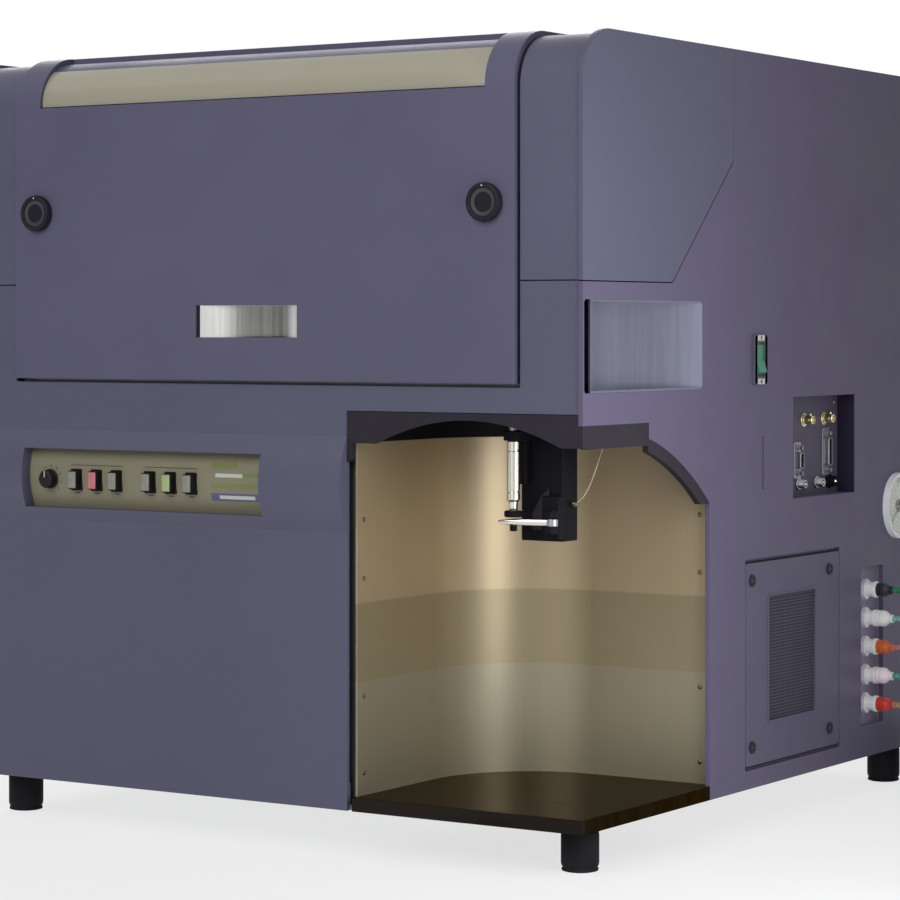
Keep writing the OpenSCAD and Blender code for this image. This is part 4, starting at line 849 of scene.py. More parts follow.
@dataclass
class Assembly:
    """A sub-assembly: the body it rides on and the pieces made so far."""

    body: str = "instrument"
    made: list[str] = field(default_factory=list)

    def piece(
        self,
        name: str,
        parts: Sequence[tuple[Form, Finishes]],
        slot: str,
        body: str | None = None,
        replaces: Sequence[str] = (),
    ) -> bpy.types.Object:
        """Puts surfaces into one object, in metres, with its place in its mesh.

        Args:
            name: the piece's name.
            parts: each surface with its finish.
            slot: the record's material slot for its finish; not used.
            body: the body it rides on, if it isn't the assembly's own.
            replaces: the frame's nodes that it stands for.

        Returns:
            The object.
        """
        whole = joined(form for form, _ in parts)
        mesh = bpy.data.meshes.new(name)
        mesh.from_pydata((whole.points * MM).tolist(), [], whole.faces)
        finishes = list(dict.fromkeys(finish for _, finish in parts))
        for finish in finishes:
            mesh.materials.append(finish.material)
        index = [np.full(len(form.faces), finishes.index(finish), np.int32) for form, finish in parts]
        mesh.polygons.foreach_set("material_index", np.concatenate(index))
        work = bmesh.new()
        work.from_mesh(mesh)
        bmesh.ops.recalc_face_normals(work, faces=work.faces)
        work.to_mesh(mesh)
        work.free()
        mesh.polygons.foreach_set("use_smooth", np.ones(len(mesh.polygons), bool))
        mesh.set_sharp_from_angle(angle=np.radians(ROUND_UP_TO))
        piece = bpy.data.objects.new(name, mesh)
        bpy.context.scene.collection.objects.link(piece)
        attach(piece, body or self.body)
        if replaces:
            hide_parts(*replaces)
        self.made.append(name)
        return piece

    def dress(self, finish: Finishes, *nodes: str) -> None:
        """Gives the frame's nodes a finish, in every material place that they have."""
        for node in nodes:
            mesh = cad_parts[node].data
            if not mesh.materials:
                mesh.materials.append(None)
            for i in range(len(mesh.materials)):
                mesh.materials[i] = finish.material
            self.made.append(node)

    def report(self) -> None:
        """Logs what was made."""
        LOG.info("%s: %s", type(self).__name__, ", ".join(self.made))


# ---- Studio ----


@dataclass(frozen=True)
class Shade:
    """A wide soft dark patch of the surround, which only reflections show.

    azimuth is the direction of its middle, near and far are the angles from there at which it starts to fade
    and has faded out, all in degrees, and depth is how dark it is, from nought to one.
    """

    azimuth: float
    near: float
    far: float
    depth: float

    @property
    def middle(self) -> tuple[float, float, float]:
        """The level direction of its middle, with nought at the front."""
        return (np.sin(np.radians(self.azimuth)), -np.cos(np.radians(self.azimuth)), 0)

    @property
    def limits(self) -> tuple[float, float, float, float]:
        """The cosines at its outer and inner edges, and the brightness at each."""
        return (np.cos(np.radians(self.far)), np.cos(np.radians(self.near)), 1.0, 1.0 - self.depth)


@dataclass
class Studio:
    """The floor, the soft lamps, the white surround and the camera, in metres."""

    eye: tuple[float, float, float] = (1.7253, -2.71435, 0.495)
    ahead: tuple[float, float, float] = (-0.5405, 0.8414, 0.0)
    focal_px: float = 3051.0
    picture_px: float = 900.0
    horizon_px: float = 325.0
    ambient: float = 0.2
    floor_half: float = 12.0
    shadow_reach: tuple[float, float] = (0.7, 1.5)
    shades: tuple[Shade, ...] = (Shade(-45, 26, 39, 0.96), Shade(135, 10, 45, 0.6), Shade(50, 20, 36, 0.95))

    def camera(self) -> None:
        """The camera, level, with its lens shifted down so that upright edges stay upright."""
        data = bpy.data.cameras.new("view_camera")
        data.sensor_width = 36.0
        data.lens = self.focal_px / self.picture_px * data.sensor_width
        data.shift_y = -(self.picture_px / 2 - self.horizon_px) / self.picture_px
        data.clip_start, data.clip_end = 0.05, 60.0
        camera = bpy.data.objects.new("view_camera", data)
        camera.location = self.eye
        camera.rotation_euler = Vector(self.ahead).to_track_quat("-Z", "Y").to_euler()
        bpy.context.scene.collection.objects.link(camera)
        bpy.context.scene.camera = camera

    def lamp(
        self,
        name: str,
        place: Sequence[float],
        size: tuple[float, float],
        power: float,
        aim: Sequence[float] = (0, 0, 0.4),
    ) -> None:
        """A soft lamp that the camera doesn't see.

        Args:
            name: its name.
            place: where it stands.
            size: its width and height.
            power: its watts.
            aim: the point that it is turned to.
        """
        data = bpy.data.lights.new(name, "AREA")
        data.shape = "RECTANGLE"
        data.size, data.size_y = size
        data.energy = power
        lamp = bpy.data.objects.new(name, data)
        lamp.location = place
        lamp.visible_camera = False
        lamp.rotation_euler = (Vector(aim) - Vector(place)).to_track_quat("-Z", "Y").to_euler()
        bpy.context.scene.collection.objects.link(lamp)

    def surround(self) -> None:
        """A surround that is white to the eye, to metal and to glass, and lights the object more dimly.

        In reflections three wide soft shades stand in it, each a smooth step of the cosine between the ray
        and the middle of the shade. They give the curved metal its light and dark parts.
        """
        world = bpy.data.worlds.new("white_surround")
        bpy.context.scene.world = world
        world.use_nodes = True
        nodes, links = world.node_tree.nodes, world.node_tree.links
        nodes.clear()

        def math(operation: str, first: object, second: object) -> object:
            """The named operation on two values."""
            node = nodes.new("ShaderNodeMath")
            node.operation = operation
            for value, socket in zip((first, second), node.inputs):
                if isinstance(value, bpy.types.NodeSocket):
                    links.new(value, socket)
                else:
                    socket.default_value = value
            return node.outputs[0]

        path = nodes.new("ShaderNodeLightPath").outputs
        ray = nodes.new("ShaderNodeTexCoord").outputs["Generated"]
        shade: object = 1.0
        for patch in self.shades:
            dot = nodes.new("ShaderNodeVectorMath")
            dot.operation = "DOT_PRODUCT"
            links.new(ray, dot.inputs[0])
            dot.inputs[1].default_value = patch.middle
            step = nodes.new("ShaderNodeMapRange")
            step.interpolation_type = "SMOOTHSTEP"
            links.new(dot.outputs["Value"], step.inputs["Value"])
            for key, number in zip(("From Min", "From Max", "To Min", "To Max"), patch.limits):
                step.inputs[key].default_value = number
            shade = math("MULTIPLY", shade, step.outputs["Result"])
        plain = math("MAXIMUM", path["Is Camera Ray"], path["Is Transmission Ray"])
        mirrored = math("MULTIPLY", path["Is Glossy Ray"], math("SUBTRACT", 1.0, plain))
        lit = math("SUBTRACT", 1.0, math("MAXIMUM", plain, mirrored))
        dimmed = math("ADD", math("MULTIPLY", mirrored, shade), math("MULTIPLY", lit, self.ambient))
        light = nodes.new("ShaderNodeBackground")
        light.inputs["Color"].default_value = (1, 1, 1, 1)
        links.new(math("ADD", plain, dimmed), light.inputs["Strength"])
        links.new(light.outputs[0], nodes.new("ShaderNodeOutputWorld").inputs[0])

    def floor(self) -> None:
        """A pale floor that keeps the object's shadow near it and turns plain white further out."""
        count = 9
        t = np.linspace(-1, 1, count) * self.floor_half
        x, y = np.meshgrid(t, t, indexing="ij")
        mesh = bpy.data.meshes.new("studio_floor")
        points = np.stack([x, y, np.zeros_like(x)], -1).reshape(-1, 3)
        mesh.from_pydata(points.tolist(), [], grid_faces(count, count, False).tolist())
        mesh.flip_normals()
        floor = bpy.data.objects.new("studio_floor", mesh)
        bpy.context.scene.collection.objects.link(floor)
        g = Graph("studio_floor_white")
        g.fix(Base_Color=(0.86, 0.86, 0.87, 1), Roughness=0.7, Specular_IOR_Level=0.2)
        g.into("Normal", g.relief(g.noise(40, 3), 0.0002, 0.1))
        length = g.add("ShaderNodeVectorMath", operation="LENGTH")
        g.join(g.place, length.inputs[0])
        far = g.remap(length.outputs["Value"], *self.shadow_reach, 0.7, 1)
        path = g.add("ShaderNodeLightPath")
        seen = g.math("MAXIMUM", path.outputs["Is Camera Ray"], path.outputs["Is Transmission Ray"])
        seen = g.math("MULTIPLY", far, g.math("MAXIMUM", seen, path.outputs["Is Glossy Ray"]))
        white, mix = g.add("ShaderNodeEmission"), g.add("ShaderNodeMixShader")
        g.join(seen, mix.inputs[0])
        g.join(g.shader.outputs[0], mix.inputs[1])
        g.join(white.outputs[0], mix.inputs[2])
        g.join(mix.outputs[0], g.tree.nodes["Material Output"].inputs["Surface"])
        mesh.materials.append(g.material)

    def build(self) -> None:
        """The whole studio."""
        scene = bpy.context.scene
        scene.view_settings.view_transform = "Standard"
        self.camera()
        self.surround()
        self.floor()
        self.lamp("front_softbox", (0.2, -3.4, 2.2), (2.2, 2.2), 60)
        self.lamp("side_strip_lamp", (0.8, -0.44, 0.44), (0.3, 0.7), 2.8, (0, -0.44, 0.44))
        self.lamp("rear_softbox", (-2.2, 2.6, 2.4), (2.0, 2.0), 46)


# ---- Fluid tubes ----


@dataclass(frozen=True)
class Line:
    """One of the five fluid lines: its name, its slot, its tubing and the make-up of its coupling."""

    name: str
    slot: str
    tubing: Finishes
    ring: Finishes
    barrel: Finishes
    flared: bool


LINES = (
    Line("green", "tube_green", F.TUBE_GREEN, F.PLUG_WHITE, F.PLUG_DARK, False),
    Line("white", "tube_white", F.TUBE_PALE, F.PLUG_WHITE, F.PLUG_WHITE, True),
    Line("orange", "tube_orange", F.TUBE_PINK, F.PLUG_WHITE, F.PLUG_ORANGE, False),
    Line("teal", "tube_teal", F.TUBE_TEAL, F.PLUG_PINK, F.PLUG_PINK, True),
    Line("red", "tube_tan", F.TUBE_TAN, F.PLUG_WHITE, F.PLUG_RED, False),
)


@dataclass
class FluidTubes(Assembly):
    """Five soft tubes that leave the right side and lie in a stack of coils on the bench.

    lead holds each tube's way down as places out from the side, places behind its port, and the share of the
    fall that is done. The coil's own sizes are measured to the tubes' centrelines.
    """

    diameter: float = 6.35
    port_b: float = 600.0
    top_z: float = 217.0
    pitch: float = 30.0
    clear_out: float = 26.0
    coil_out: float = 60.0
    coil_b: float = 690.0
    coil_radius: float = 44.0
    nest: float = 6.4
    lay_on: float = 6.38
    tail_bend: float = 13.0
    tail_inner: float = 18.2
    tail_end: float = 12.0
    tail_lift: float = 3.1
    stack_step: float = 13.0
    lowest: float = 3.3
    fitting_lift: float = 3.0
    lead: tuple[tuple[float, float, float], ...] = (
        (24, 0, 0), (38, 0, 0), (50, 0, 0.04), (61, 1, 0.11), (70, 3, 0.21),
        (78, 7, 0.33), (85, 12, 0.46), (91, 18, 0.59), (96, 26, 0.71), (100, 34, 0.81),
        (102, 43, 0.89), (103, 52, 0.95), (104, 62, 0.98), (104, 72, 1),
    )

    def port_z(self, i: int) -> float:
        """The height of tube i's port."""
        return self.top_z - self.pitch * i

    def coil_z(self, i: int) -> float:
        """The height of the lowest line of tube i's coil: the last tube lies on the bench."""
        return (len(LINES) - 1 - i) * self.stack_step + self.lowest

    def winding(self, base: float) -> np.ndarray:
        """The coil of one tube about nought.

        Args:
            base: the height of its lowest line.

        Returns:
            Its places. The angle runs five turns. Radius and height change by smooth steps over short arcs,
            so the turns lie beside and on one another; then a quarter bend leads inwards to the fitting.
        """
        turn = 2 * np.pi
        angle = np.linspace(0, 5 * turn, 181)

        def step(turns: int, before: float, after: float) -> np.ndarray:
            """3t² − 2t³, between two angles that are so many radians short of whole turns."""
            start, stop = turns * turn - before, turns * turn - after
            t = np.clip((angle - start) / (stop - start), 0, 1)
            return t * t * (3 - 2 * t)

        radius = self.coil_radius - self.nest * step(2, 2.4, 1.4) - self.nest * step(4, 4.3, 3.3)
        rise = step(1, 1.3, 0.45) - step(3, 3.3, 2.4) + step(5, 5.3, 4.3)
        height = base + self.lay_on * rise
        coil = np.stack([radius * np.cos(angle), radius * np.sin(angle), height], -1)
        bend = np.linspace(0, np.pi / 2, 7)[1:]
        fall = (height[-1] - base - self.tail_lift) * bend / (np.pi / 2)
        across = self.tail_inner + self.tail_bend * np.cos(bend)
        inward = np.stack([across, self.tail_bend * np.sin(bend), height[-1] - fall], -1)
        return np.vstack([coil, inward, [[self.tail_end, self.tail_bend, base + self.tail_lift]]])

    def route(self, i: int) -> np.ndarray:
        """The way of one tube.

        Args:
            i: its number, from the top.

        Returns:
            Its centreline in millimetres, from its coupling to its far fitting.
        """
        start, base = self.port_z(i), self.coil_z(i)
        out, back, fallen = np.array(self.lead).T
        height = start + (base - start) * fallen
        lead = np.stack([PLAN.right + out, PLAN.y(self.port_b) + back, height], -1)
        centre = np.array([PLAN.right + self.coil_out, PLAN.y(self.coil_b), 0])
        return smooth_path(np.vstack([lead, centre + self.winding(base)]), 2)

    def coupling(self, i: int, line: Line) -> bpy.types.Object:
        """The plug half on the near end: a release ring, a grooved barrel and a nose on the tube.

        Args:
            i: the tube's number, from the top.
            line: the line that it belongs to.

        Returns:
            Its object.
        """
        origin = (PLAN.right, PLAN.y(self.port_b), self.port_z(i))
        ring_r, r = (9.0, 8.6) if line.flared else (8.6, 7.6)
        ring = [(5.2, 4), (ring_r - 0.8, 4), (ring_r, 4.8), (ring_r, 8.2), (ring_r - 0.8, 9), (5.2, 9)]
        barrel = [
            (5, 9), (r, 9.4), (r, 11), (r - 0.8, 11.5), (r - 0.8, 12.5), (r, 13), (r, 15.5), (r - 0.8, 16),
            (r - 0.8, 17), (r - 0.2, 17.5), (6.2, 20.5), (4.6, 22.5), (4.4, 26), (3.6, 26.4),
        ]
        parts = [
            (turned(ring, origin, Facing.RIGHT, 48, 16, 0.5), line.ring),
            (turned(barrel, origin, Facing.RIGHT, 48, 12, 0.35), line.barrel),
        ]
        return self.piece(f"{line.name}_coupling", parts, "coupling_plastic", replaces=("tube_couplings",))

    def fitting(self, i: int, line: Line) -> bpy.types.Object:
        """The push-in fitting on the far end, lying inside the coil.

        Args:
            i: the tube's number, from the top.
            line: the line that it belongs to.

        Returns:
            Its object.
        """
        height = self.coil_z(i) + self.fitting_lift
        origin = (PLAN.right + self.coil_out, PLAN.y(self.coil_b) + self.tail_bend, height)
        body = [
            (2.6, -6), (5.6, -6), (6, -5.4), (6, 1.4), (5.6, 2), (4.4, 2.4), (4.5, 12), (4.2, 12.5),
            (4.2, 13.5), (4.5, 14), (4.5, 20.5), (4, 21.5), (3.4, 21.5),
        ]
        cap = [(0.5, -5.8), (2.7, -6.2), (2.7, -5.0)]
        parts = [
            (turned(body, origin, Facing.RIGHT, 36), line.barrel),
            (turned(cap, origin, Facing.RIGHT, 24), line.ring),
        ]
        return self.piece(f"{line.name}_fitting", parts, "coupling_plastic", replaces=("tube_couplings",))

    def curve(self, line: Line, path: np.ndarray) -> bpy.types.Object:
        """One tube as an open curve.

        Args:
            line: the line that it belongs to.
            path: its centreline in millimetres.

        Returns:
            The curve's object, with its body and the nodes that it stands for.
        """
        data = bpy.data.curves.new(f"{line.name}_fluid_tube", "CURVE")
        data.dimensions = "3D"
        data.bevel_depth = self.diameter / 2 * MM
        data.bevel_resolution = 4
        data.use_fill_caps = True
        spline = data.splines.new("POLY")
        spline.points.add(len(path) - 1)
        spline.points.foreach_set("co", np.column_stack([path * MM, np.ones(len(path))]).ravel())
        spline.use_smooth = True
        data.materials.append(line.tubing.material)
        tube = bpy.data.objects.new(f"{line.name}_fluid_tube", data)
        bpy.context.scene.collection.objects.link(tube)
        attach(tube, self.body)
        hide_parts(f"{line.name}_tube", "tube_coils")
        return tube

    def build(self) -> None:
        """Each tube is one open curve with its two end pieces, logged with its own length."""
        for i, line in enumerate(LINES):
            path = self.route(i)
            tube = self.curve(line, path)
            length = float(np.linalg.norm(np.diff(path, axis=0), axis=1).sum()) * MM
            ends = [self.coupling(i, line), self.fitting(i, line)]
            self.made.append(f"{tube.name} {length:.3f} m")


# ---- Door ----


@dataclass
class Door(Assembly):
    """The lift-up door: its shell, the beige strip along its bend, the pull and two quarter-turn locks.

    The strip is let into the bend by trim_depth, stands up by trim_thick and is crowned by trim_crown.
    """

    body: str = "door"
    lock_x: float = 263.0
    lock_z: float = 606.0
    lock_radius: float = 18.0
    proud: float = 8.0
    cam_y: float = -364.75
    bend_radius: float = 53.0
    trim_half: float = 261.5
    trim_depth: float = 5.5
    trim_thick: float = 1.9
    trim_crown: float = 0.5
    trim_arc: tuple[float, float] = (40.4, 88.6)

    def lock(self, name: str, x: float) -> None:
        """A dished knob with a fluted rim and a key slot, and its cam behind the door.

        Args:
            name: the lock's body.
            x: where it stands.
        """
        face = PLAN.door_face
        origin = (x, face, self.lock_z)
        r, h = self.lock_radius, self.proud
        rim = [
            (8, -0.5), (r - 0.6, 0.3), (r, 1.2), (r, h - 2.2), (r - 0.5, h - 0.9), (r - 1.6, h - 0.2),
            (r - 3, h), (r - 4.4, h - 0.6), (r - 5.0, h - 2.4),
        ]
        dish = [
            (r - 4.6, h - 2.6), (r - 5.2, h - 1.7), (r - 6.2, h - 1.6), (9, h - 2.5), (6, h - 3.1),
            (2.4, h - 3.3),
        ]
        slot_base = (x - 2.5, face - h + 3.6, self.lock_z)
        key = plate(slot_base, Facing.FRONT, (3.6, 9.5), 1.5, [(0, 0), (0.7, 0), (0.8, 0.2)])
        shaft = turned([(7.9, 0), (7.9, -21)], origin, Facing.FRONT, 32)
        cam_base = (x, self.cam_y, self.lock_z - 16)
        cam = plate(cam_base, Facing.FRONT, (12, 44), 5.5, [(0, 0.5), (0.5, 0), (2.5, 0), (3, 0.5)])
        parts = [
            # the rim's near-black finish is painted shade
            (turned(rim, origin, Facing.FRONT, 96, 32, 0.35), F.LOCK),
            (turned(dish, origin, Facing.FRONT, 64), F.LOCK_FACE),
            (key, F.INK),
            (shaft, F.SATIN_STEEL),
            (cam, F.SATIN_STEEL),
        ]
        self.piece(f"{name}_dished_knob", parts, "black_plastic", name, (f"{name}_knob",))
        dot_base = (x, face - h, self.lock_z + r - 3)
        dot = turned([(0.8, 0), (0.8, 0.15), (0.6, 0.2)], dot_base, Facing.FRONT, 16)
        self.piece(f"{name}_index_dot", [(dot, F.PALE_MARK)], "black_plastic", name)

    def strip(self) -> None:
        """The glossy strip along the bend, slightly crowned, with rolled ends.

        Its outer face at angle t from the top is the bend's circle less the recess depth, and it stands
        a little higher in its middle: r(t) = r0 + crown·(1 − ((t − 65°)/25°)²).
        """
        t = np.radians(np.linspace(*self.trim_arc, 25))
        middle, half = np.radians(65), np.radians(25)
        bed = self.bend_radius - self.trim_depth
        outer = bed + self.trim_thick + self.trim_crown * (1 - ((t - middle) / half) ** 2)
        inner = np.full_like(outer, bed + 0.1)
        radius = np.concatenate([outer, inner[::-1]])
        angle = np.concatenate([t, t[::-1]])
        y0, z0 = PLAN.door_face + self.bend_radius, PLAN.lid_top - self.bend_radius
        section = np.stack([y0 - radius * np.sin(angle), z0 + radius * np.cos(angle)], -1)
        centre = section.mean(0)
        end, roll = self.trim_half - 0.4, self.trim_half - 1.2
        x = np.array([-end, -roll, *np.linspace(-200, 200, 9), roll, end])
        drawn = np.array([0.96] + [1.0] * (len(x) - 2) + [0.96])
        rings = [np.column_stack([np.full(len(section), at), centre + (section - centre) * share])
                 for at, share in zip(x, drawn)]
        self.piece("door_bend_strip", [(lofted(np.array(rings)), F.TRIM)], "beige_trim",
                   replaces=("door_trim_strip",))

    def build(self) -> None:
        """All of the door."""
        self.dress(F.DOOR, "door_shell")
        self.dress(F.PULL, "door_pull")
        self.dress(F.ZINC, "door_hinges")
        self.strip()
        self.lock("left_lock", -self.lock_x)
        self.lock("right_lock", self.lock_x)


# ---- Control strip ----


@dataclass
class ControlStrip(Assembly):
    """The beige strip let into the bulging band: a knob, six push buttons and a printed legend.

    The buttons stand in two groups of three, measured to the left like the knob. Bars of the legend are
    given by their left and right ends and their lower and upper edges.
    """

    row_z: float = 342.0
    button: tuple[float, float] = (11.0, 18.0)
    out: float = 8.0
    pitch: float = 25.2
    knob_a: float = 613.0
    groups: tuple[float, float] = (580.0, 488.0)
    tick_circle: float = 13.2
    tick_count: int = 9
    green_bars: tuple[tuple[float, float, float, float], ...] = (
        (414, 383, 357.5, 363.5), (383, 353, 349.5, 353.5), (414, 353, 338.5, 343.5), (376, 353, 322, 325.5),
    )
    white_bars: tuple[tuple[float, float, float, float], ...] = (
        (408, 376, 349, 352.6), (404, 362, 328.2, 331.6),
    )
    blue_bar: tuple[float, float, float, float] = (414, 353, 326.2, 333.6)

    @property
    def face(self) -> float:
        """The Y of the strip's face at the middle of the band."""
        return PLAN.band_axis_y - PLAN.strip_radius

    @property
    def places(self) -> list[float]:
        """The six buttons' places, from the left."""
        return [first - i * self.pitch for first in self.groups for i in range(3)]

    def push_button(self, name: str, a: float, lens: Finishes) -> None:
        """A housing with a crowned lens in its face; the housing's black is painted shade of its sides.

        Args:
            name: the button's body, which is its node's name too.
            a: its place.
            lens: its lens's finish.
        """
        x, y, z = PLAN.x(a), self.face, self.row_z
        w, h = self.button
        sides = [(0, 0), (self.out + 5.4, 0), (self.out + 6.2, 0.5), (self.out + 6.3, 1.2)]
        housing = plate((x, y + 7, z), Facing.FRONT, (w, h), 0.9, sides)
        flange = plate((x, y + 5.7, z), Facing.FRONT, (w + 2, h + 2), 1.0, [(0, 0), (1.5, 0)])
        swell = [(0, 0), (0.5, 0.1), (0.9, 0.5), (1.15, 1.2), (1.3, 2.4), (1.35, 3.4)]
        crown = plate((x, y - self.out + 0.9, z), Facing.FRONT, (w - 1.6, h - 1.8), 0.9, swell)
        parts = [(housing, F.BUTTON_SIDE_SHADE), (flange, F.BUTTON_SIDE_SHADE), (crown, lens)]
        self.piece(f"{name}_lensed", parts, "button_grey", name, (name,))

    def knob(self) -> None:
        """A fluted knob with a skirt and a white pointer line."""
        x, y = PLAN.x(self.knob_a), self.face
        origin = (x, y, self.row_z)
        grip = [
            (3, -8), (3, 0.4), (8.4, 0.6), (9, 1.2), (9, 7.6), (8.6, 8.8), (7.4, 9.7), (5, 10), (1, 10),
        ]
        skirt = [(9.6, 0.55), (9.9, 0.8), (9.6, 1.5), (8.4, 2.0)]
        pointer = plate((x, y - 9.6, self.row_z + 5), Facing.FRONT, (1.1, 6.4), 0.4, [(0, 0), (0.6, 0)])
        parts = [
            (turned(grip, origin, Facing.FRONT, 96, 18, 0.8), F.KNOB),
            (turned(skirt, origin, Facing.FRONT, 48), F.KNOB),
            (pointer, F.PALE_MARK),
        ]
        self.piece("flow_knob_fluted", parts, "black_plastic", "flow_knob", ("flow_knob",))

    def on_strip(self, a0: float, a1: float, z0: float, z1: float, lift: float = 0.15) -> Form:
        """A thin printed bar on the strip's curved face.

        Args:
            a0: its left end.
            a1: its right end.
            z0: its lower edge.
            z1: its upper edge.
            lift: how far it stands up from the strip.

        Returns:
            The bar, whose front is at y = axis − sqrt((radius + lift)² − (z − middle)²).
        """
        sunk = 0.3
        z = np.linspace(z0, z1, 5)
        drop = (z - PLAN.band_mid) ** 2
        front = PLAN.band_axis_y - np.sqrt((PLAN.strip_radius + lift) ** 2 - drop)
        back = PLAN.band_axis_y - np.sqrt((PLAN.strip_radius - sunk) ** 2 - drop)
        section = np.stack([np.concatenate([front, back[::-1]]), np.concatenate([z, z[::-1]])], -1)
        rings = [np.column_stack([np.full(len(section), PLAN.x(a)), section]) for a in (a0, a1)]
        return lofted(np.array(rings))

    def legend(self) -> None:
        """Plain bars at the strip's right end; no words."""
        green = joined(self.on_strip(*bar) for bar in self.green_bars)
        white = joined(self.on_strip(*bar, lift=0.25) for bar in self.white_bars)
        self.piece("legend_green_bars", [(green, F.PRINT_GREEN)], "beige_trim")
        self.piece("legend_blue_bar", [(self.on_strip(*self.blue_bar), F.PRINT_BLUE)], "beige_trim")
        self.piece("legend_white_bars", [(white, F.PRINT_WHITE)], "beige_trim")

    def ticks(self) -> None:
        """Ticks round the knob, a line over each group of buttons and a dash under each button."""
        marks = []
        for t in np.radians(-135 + np.arange(self.tick_count) * 33.75):
            a, z = self.knob_a + self.tick_circle * np.sin(t), self.row_z + self.tick_circle * np.cos(t)
            marks.append(self.on_strip(a + 0.5, a - 0.5, z - 0.9, z + 0.9))
        for first in self.groups:
            marks.append(self.on_strip(first + 7, first - 2 * self.pitch - 7, 356.2, 356.8))
            for i in range(3):
                a = first - i * self.pitch
                marks.append(self.on_strip(a + 3.2, a - 3.2, 328.6, 329.5))
        self.piece("control_ticks", [(joined(marks), F.INK)], "beige_trim")

    def bezels(self) -> None:
        """A thin collar on the strip round each button, black as painted shade round the button."""
        w, h = self.button
        levels = [(0, 0), (1.5, 0), (1.8, 0.4), (1.8, 1.4), (1.2, 1.45)]
        collars = []
        for a in self.places:
            centre = (PLAN.x(a), self.face + 1.2, self.row_z)
            collars.append(plate(centre, Facing.FRONT, (w + 3.4, h + 3.4), 1.6, levels))
        self.piece("button_shade_collars", [(joined(collars), F.BUTTON_SIDE_SHADE)], "black_plastic")

    def build(self) -> None:
        """All of the strip."""
        self.dress(F.PANEL, "control_panel")
        buttons = (
            ("run_button", F.LENS_GREY),
            ("standby_button", F.LENS_RED),
            ("prime_button", F.LENS_GREY),
            ("low_flow_button", F.LENS_GREY),
            ("medium_flow_button", F.LENS_GREEN),
            ("high_flow_button", F.LENS_GREY),
        )
        for (name, lens), a in zip(buttons, self.places):
            self.push_button(name, a, lens)
        self.knob()
        self.legend()
        self.ticks()
        self.bezels()


# ---- Sample bay ----


